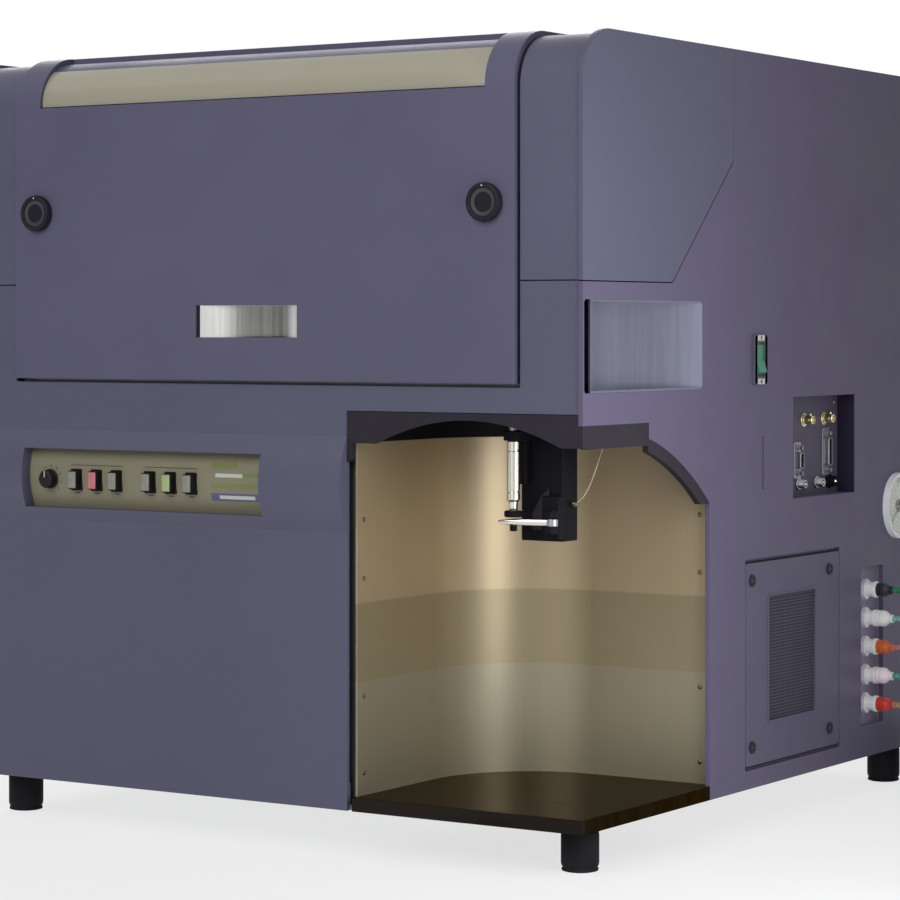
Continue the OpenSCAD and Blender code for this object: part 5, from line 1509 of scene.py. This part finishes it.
@dataclass
class SampleBay(Assembly):
    """The open corner of the housing where sample tubes are put on, with the injection block above.

    Pairs of numbers are places, to the left of the right side and behind the front. The block is given by its
    left and right ends, its front and its underside. line_way is the sample line's route, each place with its
    height.
    """

    needle: tuple[float, float] = (100.0, 45.0)
    arm: tuple[float, float] = (64.0, 54.0)
    arm_z: float = 318.0
    hub_height: float = 7.0
    sleeve_z: float = 334.0
    sleeve_top: float = 389.0
    left_wall_screws: tuple[float, float] = (247.0, 17.0)
    back_wall_screws: tuple[float, float] = (16.0, 250.0)
    screw_heights: tuple[float, ...] = (76.0, 148.0, 258.0, 313.0)
    block_ends: tuple[float, float] = (107.0, 62.0)
    block_b: float = 70.0
    block_depth: float = 27.0
    block_z: float = 296.0
    line_radius: float = 0.8
    line_way: tuple[tuple[float, float, float], ...] = (
        (62, 84, 330), (56, 84, 331), (50, 86, 337), (45, 89, 347), (41, 92, 360), (38, 96, 374),
        (35, 100, 388), (34, 103, 400), (34, 104, PLAN.ceiling),
    )

    def screws(self) -> None:
        """Small domed screws up the liner's left wall and up its back wall."""
        profile = [(2.3, 0), (2.3, 0.3), (2.0, 0.7), (1.2, 1.0), (0.4, 1.05)]
        heads = []
        for z in self.screw_heights:
            heads.append(turned(profile, (*PLAN.at(self.left_wall_screws), z), Facing.RIGHT, 20))
            heads.append(turned(profile, (*PLAN.at(self.back_wall_screws), z), Facing.FRONT, 20))
        self.piece("liner_screws", [(joined(heads), F.SCREW)], "liner_beige")

    def needle_parts(self) -> None:
        """The hanging sample needle: neck, banded sleeve, taper and black seat that the tube seals on."""
        origin = (*PLAN.at(self.needle), 0)
        foot, top, arm = self.sleeve_z, self.sleeve_top, self.arm_z
        sleeve = [
            (3.4, foot - 9), (4.0, foot - 8), (4.0, foot - 1), (5.2, foot), (6, foot + 0.8), (6, foot + 7),
            (5.6, foot + 7.5), (5.6, foot + 8.7), (6, foot + 9.2), (6, top - 10), (5.6, top - 9.5),
            (5.6, top - 8.5), (6, top - 8), (6, top - 1), (5.2, top),
        ]
        neck = [(3.9, top - 1), (3.9, PLAN.ceiling)]
        seat = [
            (3.2, arm + 1), (7.6, arm + 1), (8.5, arm + 1.8), (8.5, arm + 5.6), (7.9, arm + 6.6),
            (3.6, arm + 7.2),
        ]
        parts = [
            (turned(sleeve, origin, Facing.UP, 48), F.STEEL),
            (turned(neck, origin, Facing.UP, 32), F.SATIN_STEEL),
            (turned(seat, origin, Facing.UP, 48), F.BLACK),
        ]
        self.piece("sample_needle", parts, "polished_steel", replaces=("needle_assembly",))

    def blade(self, hub: np.ndarray, tip: np.ndarray) -> Form:
        """The support arm's tapering blade.

        Args:
            hub: the X and Y of its hub.
            tip: the X and Y of the needle, towards which it points.

        Returns:
            A run of sections whose width and thickness fall from the hub to the tip. Each is a rounded
            rectangle: width·c(cos t), thickness·c(sin t), where c(v) = sign(v)·|v|^0.6.
        """

        def squared(value: np.ndarray) -> np.ndarray:
            """A sine or cosine, filled out towards a square corner."""
            return np.sign(value) * np.abs(value) ** 0.6

        ahead = (tip - hub) / np.linalg.norm(tip - hub)
        side = np.array([-ahead[1], ahead[0]])
        along = np.array([0, 2, 12, 24, 36, 44, 50, 52.0])
        half_w = np.array([3.4, 3.6, 3.6, 3.6, 3.4, 2.4, 1.3, 0.5])
        half_t = np.array([3.0, 3.4, 3.4, 3.3, 3.0, 2.4, 1.7, 0.8])
        t = np.linspace(0, 2 * np.pi, 20, endpoint=False)
        shape = np.stack([squared(np.cos(t)), squared(np.sin(t))], -1)
        plan = hub + along[:, None] * ahead
        xy = plan[:, None] + half_w[:, None, None] * shape[None, :, :1] * side
        z = self.arm_z - self.hub_height / 2 + half_t[:, None] * shape[None, :, 1]
        return lofted(np.concatenate([xy, z[..., None]], -1))

    def support(self) -> None:
        """The swinging arm under the needle: a hub, a tapering blade and a peg."""
        hub, tip = np.array(PLAN.at(self.arm)), np.array(PLAN.at(self.needle))
        z0, z1 = self.arm_z - self.hub_height, self.arm_z
        barrel = [(2.6, z0), (5, z0), (5.5, z0 + 0.6), (5.5, z1 - 0.6), (5, z1), (2.6, z1)]
        peg = [(2.6, z0 - 5), (3.4, z0 - 4.4), (3.4, z0 + 1)]
        parts = [
            (self.blade(hub, tip), F.STEEL),
            (turned(barrel, (*hub, 0), Facing.UP, 36), F.SATIN_STEEL),
            (turned(peg, (*tip, 0), Facing.UP, 24), F.BLACK),
        ]
        self.piece("tube_support_blade", parts, "polished_steel", "support_arm", ("support_arm",))

    def block(self) -> None:
        """The black block that carries the needle, with its cheek plate, bracket, lugs and screws."""
        x0, x1 = (PLAN.x(a) for a in self.block_ends)
        y0, z0, top = PLAN.y(self.block_b), self.block_z, PLAN.ceiling
        (hub_x, hub_y), (nx, ny) = PLAN.at(self.arm), PLAN.at(self.needle)
        body = slab((x0, y0, z0), (x1, y0 + self.block_depth, top), 1.5, 0.8)
        cheek = slab((x0, y0 - 6, z0 + 52), (x0 + 8, y0 + 1, top), 1.0, 0.5)
        mount = slab((hub_x - 16, y0 - 8, z0 + 2), (hub_x + 2, y0 + 0.5, z0 + 42), 1.2, 0.7)
        under, over = self.sleeve_top, self.sleeve_top + 9
        bracket = slab((nx - 7, ny - 7, under), (nx + 9, y0 + 0.5, over), 1.5, 0.7)
        seam = slab((x1 - 13.2, y0 - 0.35, z0 + 1), (x1 - 11.8, y0 + 1, top - 1), 0.2, 0.1)
        lugs = [slab((hub_x - 5.5, hub_y - 5.5, z), (hub_x + 2, y0 - 7.5, z + 7), 1.5, 0.6)
                for z in (self.arm_z + 0.3, self.arm_z - 14.3)]
        hinge = [(2.3, 303.2), (2.5, 303.6), (2.5, 325.4), (2.0, 326.2)]
        pin = turned(hinge, (hub_x, hub_y, 0), Facing.UP, 24)
        outline = np.array([(x0 + 14, 306), (x1 - 14, 306), (x1 - 14, 344), (x0 + 24, 338), (x0 + 14, 322)])
        shoulder = stacked((0, y0, 0), Facing.FRONT, [(outline, out) for out in (-0.5, 2.4, 2.9)])
        screw = [(2.6, -0.2), (2.6, 1.3), (2.2, 1.7), (1.3, 1.7), (1.2, 0.7)]
        places = ((x0 + 12, 400), (x1 - 20, 400), (x0 + 12, 350), (x1 - 5.5, 306), (x1 - 5.5, 398))
        heads = joined(turned(screw, (x, y0, z), Facing.FRONT, 18) for x, z in places)
        parts = [(form, F.BLACK_METAL) for form in (body, cheek, mount, bracket, joined(lugs))]
        parts += [(shoulder, F.FASCIA), (seam, F.BLACK), (pin, F.BLACK_METAL), (heads, F.BLACK_METAL)]
        self.piece("injection_block_machined", parts, "black_plastic", replaces=("injection_block",))

    def sample_line(self) -> None:
        """The clear line from the block up to the ceiling, with its finger nut."""
        a, b, z = np.array(self.line_way, float).T
        places = np.stack([PLAN.right - a, PLAN.front + b, z], -1)
        nut = [(1.2, 0), (2.8, 0.4), (3, 1), (3, 5.4), (2.4, 6.4), (1.3, 7.4)]
        parts = [
            (swept(smooth_path(places, 5), self.line_radius, 12), F.LINE),
            (turned(nut, places[0], Facing.RIGHT, 32, 10, 0.4), F.SCREW),
        ]
        self.piece("sample_line_clear_tube", parts, "line_clear", replaces=("sample_line",))

    def build(self) -> None:
        """All of the bay."""
        self.dress(F.LINER, "bay_liner")
        self.dress(F.FLOOR, "bay_floor")
        self.dress(F.BLACK, "bay_ceiling")
        self.dress(F.FASCIA, "front_fascia", "side_fascia")
        self.screws()
        self.needle_parts()
        self.support()
        self.block()
        self.sample_line()


# ---- Right side ----


@dataclass
class SideFittings(Assembly):
    """What is let into the right side: the grip scoop, the mains rocker and the connector recess.

    switch is the rocker's place behind the front and its height. The recess is given by its ends, its edges
    and its depth, and the connectors' places are counted from its front lower corner, with a port's span or
    a round jack's radius.
    """

    switch: tuple[float, float] = (343.0, 461.0)
    recess: tuple[float, float, float, float] = (418.0, 562.0, 321.0, 423.0)
    recess_depth: float = 20.0
    screw_inset: float = 8.0
    coaxes: tuple[tuple[float, float], ...] = ((63, 77), (110, 77.5))
    ports: tuple[tuple[float, float, float], ...] = ((48, 36, 26), (114, 43, 38))
    jacks: tuple[tuple[float, float, float], ...] = ((51, 12, 4.5), (93, 12, 4.5), (122, 12, 5.5))

    def rocker_marks(self) -> None:
        """The bezel round the rocker with its two pale end plates, and the I and O marks on those."""
        b, z = self.switch
        x, y = PLAN.right, PLAN.y(b)
        bezel = [(0, 0.4), (1.6, 0), (2.3, 0.5), (2.5, 1.4), (2.5, 5.8), (1.4, 6.2), (-1, 6.4)]
        ring = plate((x, y, z), Facing.RIGHT, (29, 50), 3.2, bezel)
        ends = [plate((x + 2.3, y, z + out), Facing.RIGHT, (15, 5.4), 1.2, [(0, 0), (0.3, 0)])
                for out in (-21.4, 21.4)]
        self.piece("switch_bezel_frame", [(ring, F.BEZEL), (joined(ends), F.PALE_MARK)], "black_plastic")
        stroke = plate((x + 2.6, y, z + 21.6), Facing.RIGHT, (1.3, 3.6), 0.4, [(0, 0), (0.35, 0)])
        loop = [(1.1, 0), (1.9, 0), (1.9, 0.35), (1.1, 0.35)]
        circle = turned(loop, (x + 2.6, y, z - 21.6), Facing.RIGHT, 24, hollow=True)
        self.piece("switch_bezel_marks", [(stroke, F.INK), (circle, F.INK)], "black_plastic")

    def coax(self, x: float, y: float, z: float) -> list[tuple[Form, Finishes]]:
        """A bayonet jack: flange, nut, barrel with three ears, and a centre pin.

        Args:
            x: the X of its base.
            y: the Y of its middle.
            z: the height of its middle.

        Returns:
            Its one surface with its finish.
        """
        barrel = [
            (7, 0), (7, 1.4), (5.6, 1.6), (5.6, 3), (4.6, 3.2), (4.6, 11.4), (4.2, 12), (3.5, 12), (3.5, 6),
        ]
        ear = [(1.1, 0), (1.1, 6.2), (0.8, 6.6)]
        ears = [turned(ear, (x + 8.5, y, z), facing, 12)
                for facing in (Facing.UP, Facing.REAR, Facing.FRONT)]
        pin = turned([(1.1, 4), (1.1, 10.5), (0.5, 11.2)], (x, y, z), Facing.RIGHT, 14)
        return [(joined([turned(barrel, (x, y, z), Facing.RIGHT, 36), *ears, pin]), F.BRASS)]

    def port(self, x: float, y: float, z: float, span: float) -> list[tuple[Form, Finishes]]:
        """A flanged port: a plate, a raised shell with a dark insert, and two jack posts.

        Args:
            x: the X of its base.
            y: the Y of its middle.
            z: the height of its middle.
            span: the distance between its posts.

        Returns:
            Its surfaces with their finishes.
        """
        base = plate((x, y, z), Facing.RIGHT, (16, span + 12), 2.4, [(0, 0), (1.1, 0), (1.5, 0.4)])
        lip = [(1, 0), (6.4, 0), (7, 0.4), (7, 1.3), (5, 1.3)]
        shell = plate((x, y, z), Facing.RIGHT, (9, span - 9), 2.4, lip)
        insert = plate((x + 5, y, z), Facing.RIGHT, (6, span - 12), 1.6, [(0, 0), (1.2, 0), (1.4, 0.3)])
        post = [(2.9, 1.4), (2.9, 3.6), (2.2, 3.8), (2.2, 7.6), (1.4, 8), (1.2, 6)]
        posts = joined(turned(post, (x, y, z + s * span / 2), Facing.RIGHT, 6) for s in (-1, 1))
        return [(joined([base, shell]), F.DULL), (insert, F.BLACK), (posts, F.SATIN_STEEL)]

    def jack(self, x: float, y: float, z: float, r: float) -> list[tuple[Form, Finishes]]:
        """A round jack: washer, threaded collar and dark bore.

        Args:
            x: the X of its base.
            y: the Y of its middle.
            z: the height of its middle.
            r: the radius of its thread. A wide jack is black, a narrow one is steel.

        Returns:
            Its surfaces with their finishes.
        """
        pitch, wide = 1.1, 5
        collar = [(r + 2, 0), (r + 2, 1.8), (r + 1.4, 2.4), (r, 2.6)]
        for k in range(5):
            collar += [(r, 3.2 + k * pitch), (r - 0.45, 3.75 + k * pitch)]
        collar += [(r - 0.3, 9), (r * 0.58, 9), (r * 0.5, 4.5)]
        bore = [(r * 0.48, 4.4), (r * 0.48, 5.2)]
        centre = [(r * 0.34, 4.4), (r * 0.34, 8.4), (r * 0.2, 9.6), (0.3, 9.8)]
        return [
            (turned(collar, (x, y, z), Facing.RIGHT, 36), F.BLACK if r > wide else F.SATIN_STEEL),
            (turned(bore, (x, y, z), Facing.RIGHT, 18), F.INK),
            (turned(centre, (x, y, z), Facing.RIGHT, 18), F.STEEL),
        ]

    def connectors(self) -> None:
        """Two bayonet jacks, two ports and three round jacks on the recess's floor."""
        b0, _, z0, _ = self.recess
        x, y0 = PLAN.right - self.recess_depth, PLAN.y(b0)
        parts: list[tuple[Form, Finishes]] = []
        for back, up in self.coaxes:
            parts += self.coax(x, y0 + back, z0 + up)
        for back, up, span in self.ports:
            parts += self.port(x, y0 + back, z0 + up, span)
        for back, up, radius in self.jacks:
            parts += self.jack(x, y0 + back, z0 + up, radius)
        self.piece("side_connector_set", parts, "connector_metal", replaces=("side_connectors",))

    def recess_trim(self) -> None:
        """A dark sheet on the recess's rear wall as painted shade, and the four screws in its floor."""
        b0, b1, z0, z1 = self.recess
        x, y0, y1 = PLAN.right - self.recess_depth, PLAN.y(b0), PLAN.y(b1)
        rear_shade_sheet = slab((x + 0.2, y1 - 0.5, z0 + 0.3), (PLAN.right - 0.6, y1 + 0.1, z1 - 0.3), 0.2, 0.05)
        self.piece("recess_wall_shade_sheet", [(rear_shade_sheet, F.WALL_SHADE)], "black_plastic")
        screw, inset = [(2.4, 0), (2.4, 0.6), (1.7, 1.2), (0.4, 1.3)], self.screw_inset
        screws = [turned(screw, (x, y, z), Facing.RIGHT, 18)
                  for z in (z0 + inset, z1 - inset) for y in (y0 + inset, y1 - inset)]
        self.piece("recess_screws", [(joined(screws), F.DULL)], "connector_metal")

    def build(self) -> None:
        """All of the side."""
        self.dress(F.SCOOP, "grip_scoop")
        # the tray's darker paint is painted shade in the recess
        self.dress(F.RECESS, "connector_tray")
        self.dress(F.BEZEL, "switch_bezel")
        self.dress(F.ROCKER, "power_rocker")
        self.rocker_marks()
        self.connectors()
        self.recess_trim()


@dataclass
class IntakeCover(Assembly):
    """The lift-off air intake cover with its mesh, four fasteners and the filter behind it.

    The cover and its window are given by their ends behind the front and their lower and upper edges, and the
    fasteners by their distances from the cover's front end and lower edge.
    """

    body: str = "intake_cover"
    cover: tuple[float, float, float, float] = (315.0, 524.0, 64.0, 262.0)
    window: tuple[float, float, float, float] = (364.0, 469.0, 104.0, 227.0)
    cells: tuple[int, int] = (33, 39)
    wire: float = 1.1
    sheet: float = 0.8
    set_back: float = 2.2
    tuck: float = 2.0
    face_x: float = 361.8
    fastener_b: tuple[float, float] = (13.0, 186.0)
    fastener_z: tuple[float, float] = (18.0, 181.0)

    def mesh(self) -> None:
        """A perforated flat sheet: bars both ways, each a run of quads, with its thickness from Solidify.

        The sheet is a grid of (2n + 1) by (2m + 1) cells in which the cells with both numbers odd are open.
        """
        b0, b1, z0, z1 = self.window
        n, m = self.cells

        def lines(low: float, high: float, count: int) -> np.ndarray:
            """Both edges of every bar, between two limits that are tucked under the hem."""
            low, high = low - self.tuck, high + self.tuck
            pitch = (high - low - self.wire) / count
            start = low + np.arange(count + 1) * pitch
            return np.stack([start, start + self.wire], -1).ravel()

        u, v = lines(b0, b1, n), lines(z0, z1, m)
        uu, vv = np.meshgrid(PLAN.front + u, v, indexing="ij")
        i, j = np.meshgrid(np.arange(len(u) - 1), np.arange(len(v) - 1), indexing="ij")
        solid = ~((i % 2 == 1) & (j % 2 == 1))
        i, j = i[solid], j[solid]
        w = len(v)
        quads = np.stack([i * w + j, (i + 1) * w + j, (i + 1) * w + j + 1, i * w + j + 1], -1)
        points = np.stack([np.full(uu.shape, self.face_x - self.set_back), uu, vv], -1).reshape(-1, 3)
        sheet = Form(points, [tuple(quad) for quad in quads.tolist()])
        piece = self.piece("intake_fine_mesh", [(sheet, F.MESH)], "black_plastic",
                           replaces=("intake_grille",))
        wall = piece.modifiers.new("thickness", "SOLIDIFY")
        wall.thickness, wall.offset = self.sheet * MM, 0.0

    def hem(self) -> None:
        """The narrow raised hem round the mesh window, open in its middle."""
        b0, b1, z0, z1 = self.window
        centre = (self.face_x + 0.1, PLAN.y((b0 + b1) / 2), (z0 + z1) / 2)
        outer = rounded_outline(b1 - b0 + 5, z1 - z0 + 5, 3.0)
        inner = rounded_outline(b1 - b0 - 0.4, z1 - z0 - 0.4, 1.5)
        levels = (
            (outer, -0.4), (outer, 0.3), (outer * 0.994, 0.7),
            (inner * 1.006, 0.7), (inner, 0.3), (inner, -2.4),
        )
        hem = stacked(centre, Facing.RIGHT, levels, hollow=True)
        self.piece("intake_window_hem", [(hem, F.COVER)], "side_paint")

    def gap_shades(self) -> None:
        """Two black rubber strips in the gaps under and over the cover, put there as painted shade of the
        gaps.
        """
        b0, b1, z0, z1 = self.cover
        strips = [slab((PLAN.right - 3.4, PLAN.y(b0), z), (PLAN.right - 0.5, PLAN.y(b1), z + 1.3), 0.3, 0.1)
                  for z in (z0 - 1.4, z1 + 0.1)]
        self.piece("cover_gap_shade_strips", [(joined(strips), F.RUBBER)], "foot_rubber", body="instrument")

    def fasteners(self) -> None:
        """Quarter-turn fasteners: a dished head with a slot, on a stud."""
        b0, _, z0, _ = self.cover
        stud = [
            (2.9, -8), (2.9, 0), (6, 0.1), (6, 1.2), (5.3, 1.9), (4.2, 2.0), (3.0, 1.5), (0.5, 1.4),
        ]
        heads, slots = [], []
        for b in self.fastener_b:
            for z in self.fastener_z:
                x, y, height = self.face_x, PLAN.y(b0 + b), z0 + z
                heads.append(turned(stud, (x, y, height), Facing.RIGHT, 36))
                slot = plate((x + 1.35, y, height), Facing.RIGHT, (7.6, 1.5), 0.6, [(0, 0), (0.2, 0)])
                slots.append(slot)
        parts = [(joined(heads), F.FASCIA), (joined(slots), F.INK)]
        self.piece("cover_quarter_turns", parts, "chassis_steel", replaces=("intake_fasteners",))

    def build(self) -> None:
        """All of the cover."""
        self.dress(F.COVER, "intake_cover")
        self.dress(F.FOAM, "intake_filter")
        self.mesh()
        self.hem()
        self.gap_shades()
        self.fasteners()


@dataclass
class Gauge(Assembly):
    """The round pressure gauge near the rear of the right side.

    b and z are its middle's place behind the front and its height. The scale starts at first_mark, in degrees
    up from the rear, and runs back over its sweep. Every fifth mark is long.
    """

    b: float = 666.0
    z: float = 302.0
    radius: float = 35.25
    first_mark: float = 225.0
    sweep: float = 270.0
    marks: int = 31

    @property
    def origin(self) -> tuple[float, float, float]:
        """The middle of its back."""
        return (PLAN.right, PLAN.y(self.b), self.z)

    def case(self) -> None:
        """The rolled rim over the case, and the dial's disc."""
        r = self.radius
        rim = [
            (r - 7, 0.2), (r - 0.6, 0.1), (r, 0.8), (r, 4.4), (r - 0.8, 5.8), (r - 2, 6.4), (r - 3.2, 6.2),
            (r - 4.1, 5.2), (r - 4.2, 1.2), (r - 4.4, 0.9),
        ]
        disc = [(r - 4.1, 0.9), (r - 4.1, 1.25), (0.5, 1.3)]
        rolled, flat = (turned(profile, self.origin, Facing.RIGHT, 96) for profile in (rim, disc))
        self.piece("gauge_rolled_rim", [(rolled, F.GAUGE)], "gauge_white")
        self.piece("gauge_dial_disc", [(flat, F.DIAL)], "gauge_white")

    def scale(self) -> None:
        """The marks: each a thin bar along the dial's radius."""
        ticks = []
        for i in range(self.marks):
            t = np.radians(self.first_mark - i * self.sweep / (self.marks - 1))
            length, half = (5.5, 0.8) if i % 5 == 0 else (2, 0.35)
            outer = self.radius - 6
            inner = outer - length
            along, side = np.array([np.cos(t), np.sin(t)]), np.array([-np.sin(t), np.cos(t)])
            corners = ((inner, -half), (outer, -half), (outer, half), (inner, half))
            bar = np.array([along * reach + side * across for reach, across in corners])
            ticks.append(stacked(self.origin, Facing.RIGHT, [(bar, 1.2), (bar, 1.4)]))
        self.piece("gauge_scale_ticks", [(joined(ticks), F.INK)], "gauge_white")

    def hub(self) -> None:
        """The pointer's hub, which turns with it."""
        hub = [(6.8, 1.9), (7, 2.2), (6.8, 3.1), (5.4, 3.6), (0.4, 3.7)]
        self.piece("gauge_pointer_hub", [(turned(hub, self.origin, Facing.RIGHT, 32), F.BLACK)],
                   "black_plastic", body="gauge_needle")

    def glass(self) -> None:
        """The glass: flat behind, and in front a quarter ellipse, R·cos t out and 1.3·sin t up, turned."""
        r = self.radius
        crown = [((r - 4.2) * np.cos(t) + 0.02, 4.9 + 1.3 * np.sin(t))
                 for t in np.linspace(0, 1, 9)[:-1] * np.pi / 2]
        dome = turned([(r - 4.1, 4.6), *crown, (0.4, 6.2)], self.origin, Facing.RIGHT, 72)
        self.piece("gauge_glass_dome", [(dome, F.GLASS)], "gauge_white")

    def build(self) -> None:
        """Case, dial with its scale, pointer with its hub, and a domed glass."""
        self.dress(F.GAUGE, "gauge_case")
        self.case()
        self.scale()
        self.dress(F.INK, "gauge_needle")
        self.hub()
        self.glass()


# ---- Housing and inside ----


@dataclass
class Housing(Assembly):
    """The outer panels, the pan, the frame and the feet.

    foot_x and foot_b place a foot from the middle and from the front and rear faces. The mains inlet is given
    by its X and its height.
    """

    foot_x: float = 328.0
    foot_b: float = 53.0
    rear_screw_x: float = 300.0
    rear_screw_z: tuple[float, ...] = (80.0, 381.0, 720.0)
    inlet: tuple[float, float] = (230.0, 110.0)

    def feet(self) -> None:
        """Rubber feet: a waisted cylinder with moulded rings and a chamfered tread."""
        profile = [
            (14.5, 0), (16.6, 0.6), (17, 2), (16.2, 3), (16.2, 4.4), (17, 5.4), (17.5, 8), (17.5, 33),
            (17.1, 35.4), (16.4, 36), (16.4, 37.6), (17.1, 38.2), (17.5, 39), (17.5, 42),
        ]
        forms = []
        for x in (-self.foot_x, self.foot_x):
            for y in (PLAN.y(self.foot_b), PLAN.y(PLAN.depth - self.foot_b)):
                forms.append(turned(profile, (x, y, 0), Facing.UP, 64))
        self.piece("rubber_feet", [(joined(forms), F.RUBBER)], "foot_rubber", replaces=("feet",))

    def rear_details(self) -> None:
        """Panel screws and the mains inlet's shroud on the rear."""
        screw = [(4.2, 0), (4.2, 0.8), (3.4, 1.7), (1.8, 2.1), (0.4, 2.1)]
        heads = []
        for x in (-self.rear_screw_x, self.rear_screw_x):
            for z in self.rear_screw_z:
                heads.append(turned(screw, (x, PLAN.rear, z), Facing.REAR, 24))
        self.piece("rear_panel_screws", [(joined(heads), F.SATIN_STEEL)], "side_paint")
        outer, inner = rounded_outline(38, 32, 3), rounded_outline(27.4, 19.4, 2)
        levels = (
            (outer, 0), (outer, 1.8), (outer * 0.96, 2.4), (inner * 1.02, 2.4), (inner, 1.9), (inner, -3.4),
        )
        x, z = self.inlet
        shroud = stacked((x, PLAN.rear, z), Facing.REAR, levels, hollow=True)
        self.piece("mains_inlet_shroud", [(shroud, F.BLACK)], "black_plastic")

    def build(self) -> None:
        """All of the housing."""
        self.dress(F.MOULDING, "lower_front_housing", "upper_front_cover")
        self.dress(F.SIDE, "right_side_panel", "left_side_panel", "rear_panel", "top_panel")
        self.dress(F.ZINC, "base_pan", "chassis_frame")
        self.feet()
        self.rear_details()


@dataclass
class Inside(Assembly):
    """The optics, the electronics, the fluidics and the fan behind the panels.

    Each detector array is given by its X, its radius to the corners, its sides and the sides that are fitted.
    """

    arrays: tuple[tuple[float, float, int, int], ...] = ((-232, 58, 8, 8), (-20, 58, 8, 6), (150, 42, 6, 3))
    array_y: float = -219.75
    bench: float = 468.0
    axis_above: float = 47.0

    def filter_rims(self) -> None:
        """A knurled rim on each detector's filter tab, and a cable gland on its end.

        Each is a stack of rings r·(1 + 0.02·cos 16q) about the detector's own axis, which points outwards
        from its array.
        """
        rim = ((12.4, 7), (15.6, 7.2), (15.6, 11), (12.4, 11.4))
        gland = ((5.4, 42), (7, 42.4), (7, 50), (4, 52))
        up = np.array([0, 0, 1.0])
        q = np.linspace(0, 2 * np.pi, 48, endpoint=False)
        knurl = 1 + 0.02 * np.cos(16 * q)
        cosine, sine = (knurl * np.cos(q))[:, None], (knurl * np.sin(q))[:, None]
        rims, glands = [], []
        for x, r, sides, fitted in self.arrays:
            flat = r * np.cos(np.pi / sides)
            for t in 2 * np.pi * np.arange(fitted) / sides:
                ahead, side = np.array([np.cos(t), np.sin(t), 0]), np.array([-np.sin(t), np.cos(t), 0])
                base = np.array([x, self.array_y, self.bench + self.axis_above]) + ahead * (flat - 1)
                for profile, store in ((rim, rims), (gland, glands)):
                    rings = [base + out * ahead + wide * cosine * side + wide * sine * up
                             for wide, out in profile]
                    store.append(lofted(np.array(rings)))
        self.piece("detector_rims", [(joined(rims), F.SATIN_STEEL)], "optics_black")
        self.piece("detector_glands", [(joined(glands), F.BLACK)], "optics_black")

    def build(self) -> None:
        """All of the inside."""
        self.dress(F.BENCH, "optical_bench", "flow_cell")
        self.dress(F.OPTICS, "laser_modules", "detector_arrays")
        self.dress(F.BOARD, "electronics_modules")
        self.dress(F.FLUIDICS, "fluidics_module")
        self.dress(F.BLACK, "fan_frame", "fan_rotor")
        self.dress(F.TRAY, "coupling_tray")
        self.dress(F.SOCKET, "bulkhead_sockets")
        self.filter_rims()


def main() -> None:
    """Builds the studio, then every sub-assembly, and reports each one."""
    Studio().build()
    assemblies = (
        FluidTubes(), Housing(), Door(), ControlStrip(), SampleBay(), SideFittings(), IntakeCover(),
        Gauge(), Inside(),
    )
    for assembly in assemblies:
        assembly.build()
        assembly.report()


if __name__ == "__main__":
    logging.basicConfig(level=logging.INFO, format="%(name)s %(message)s")
    main()
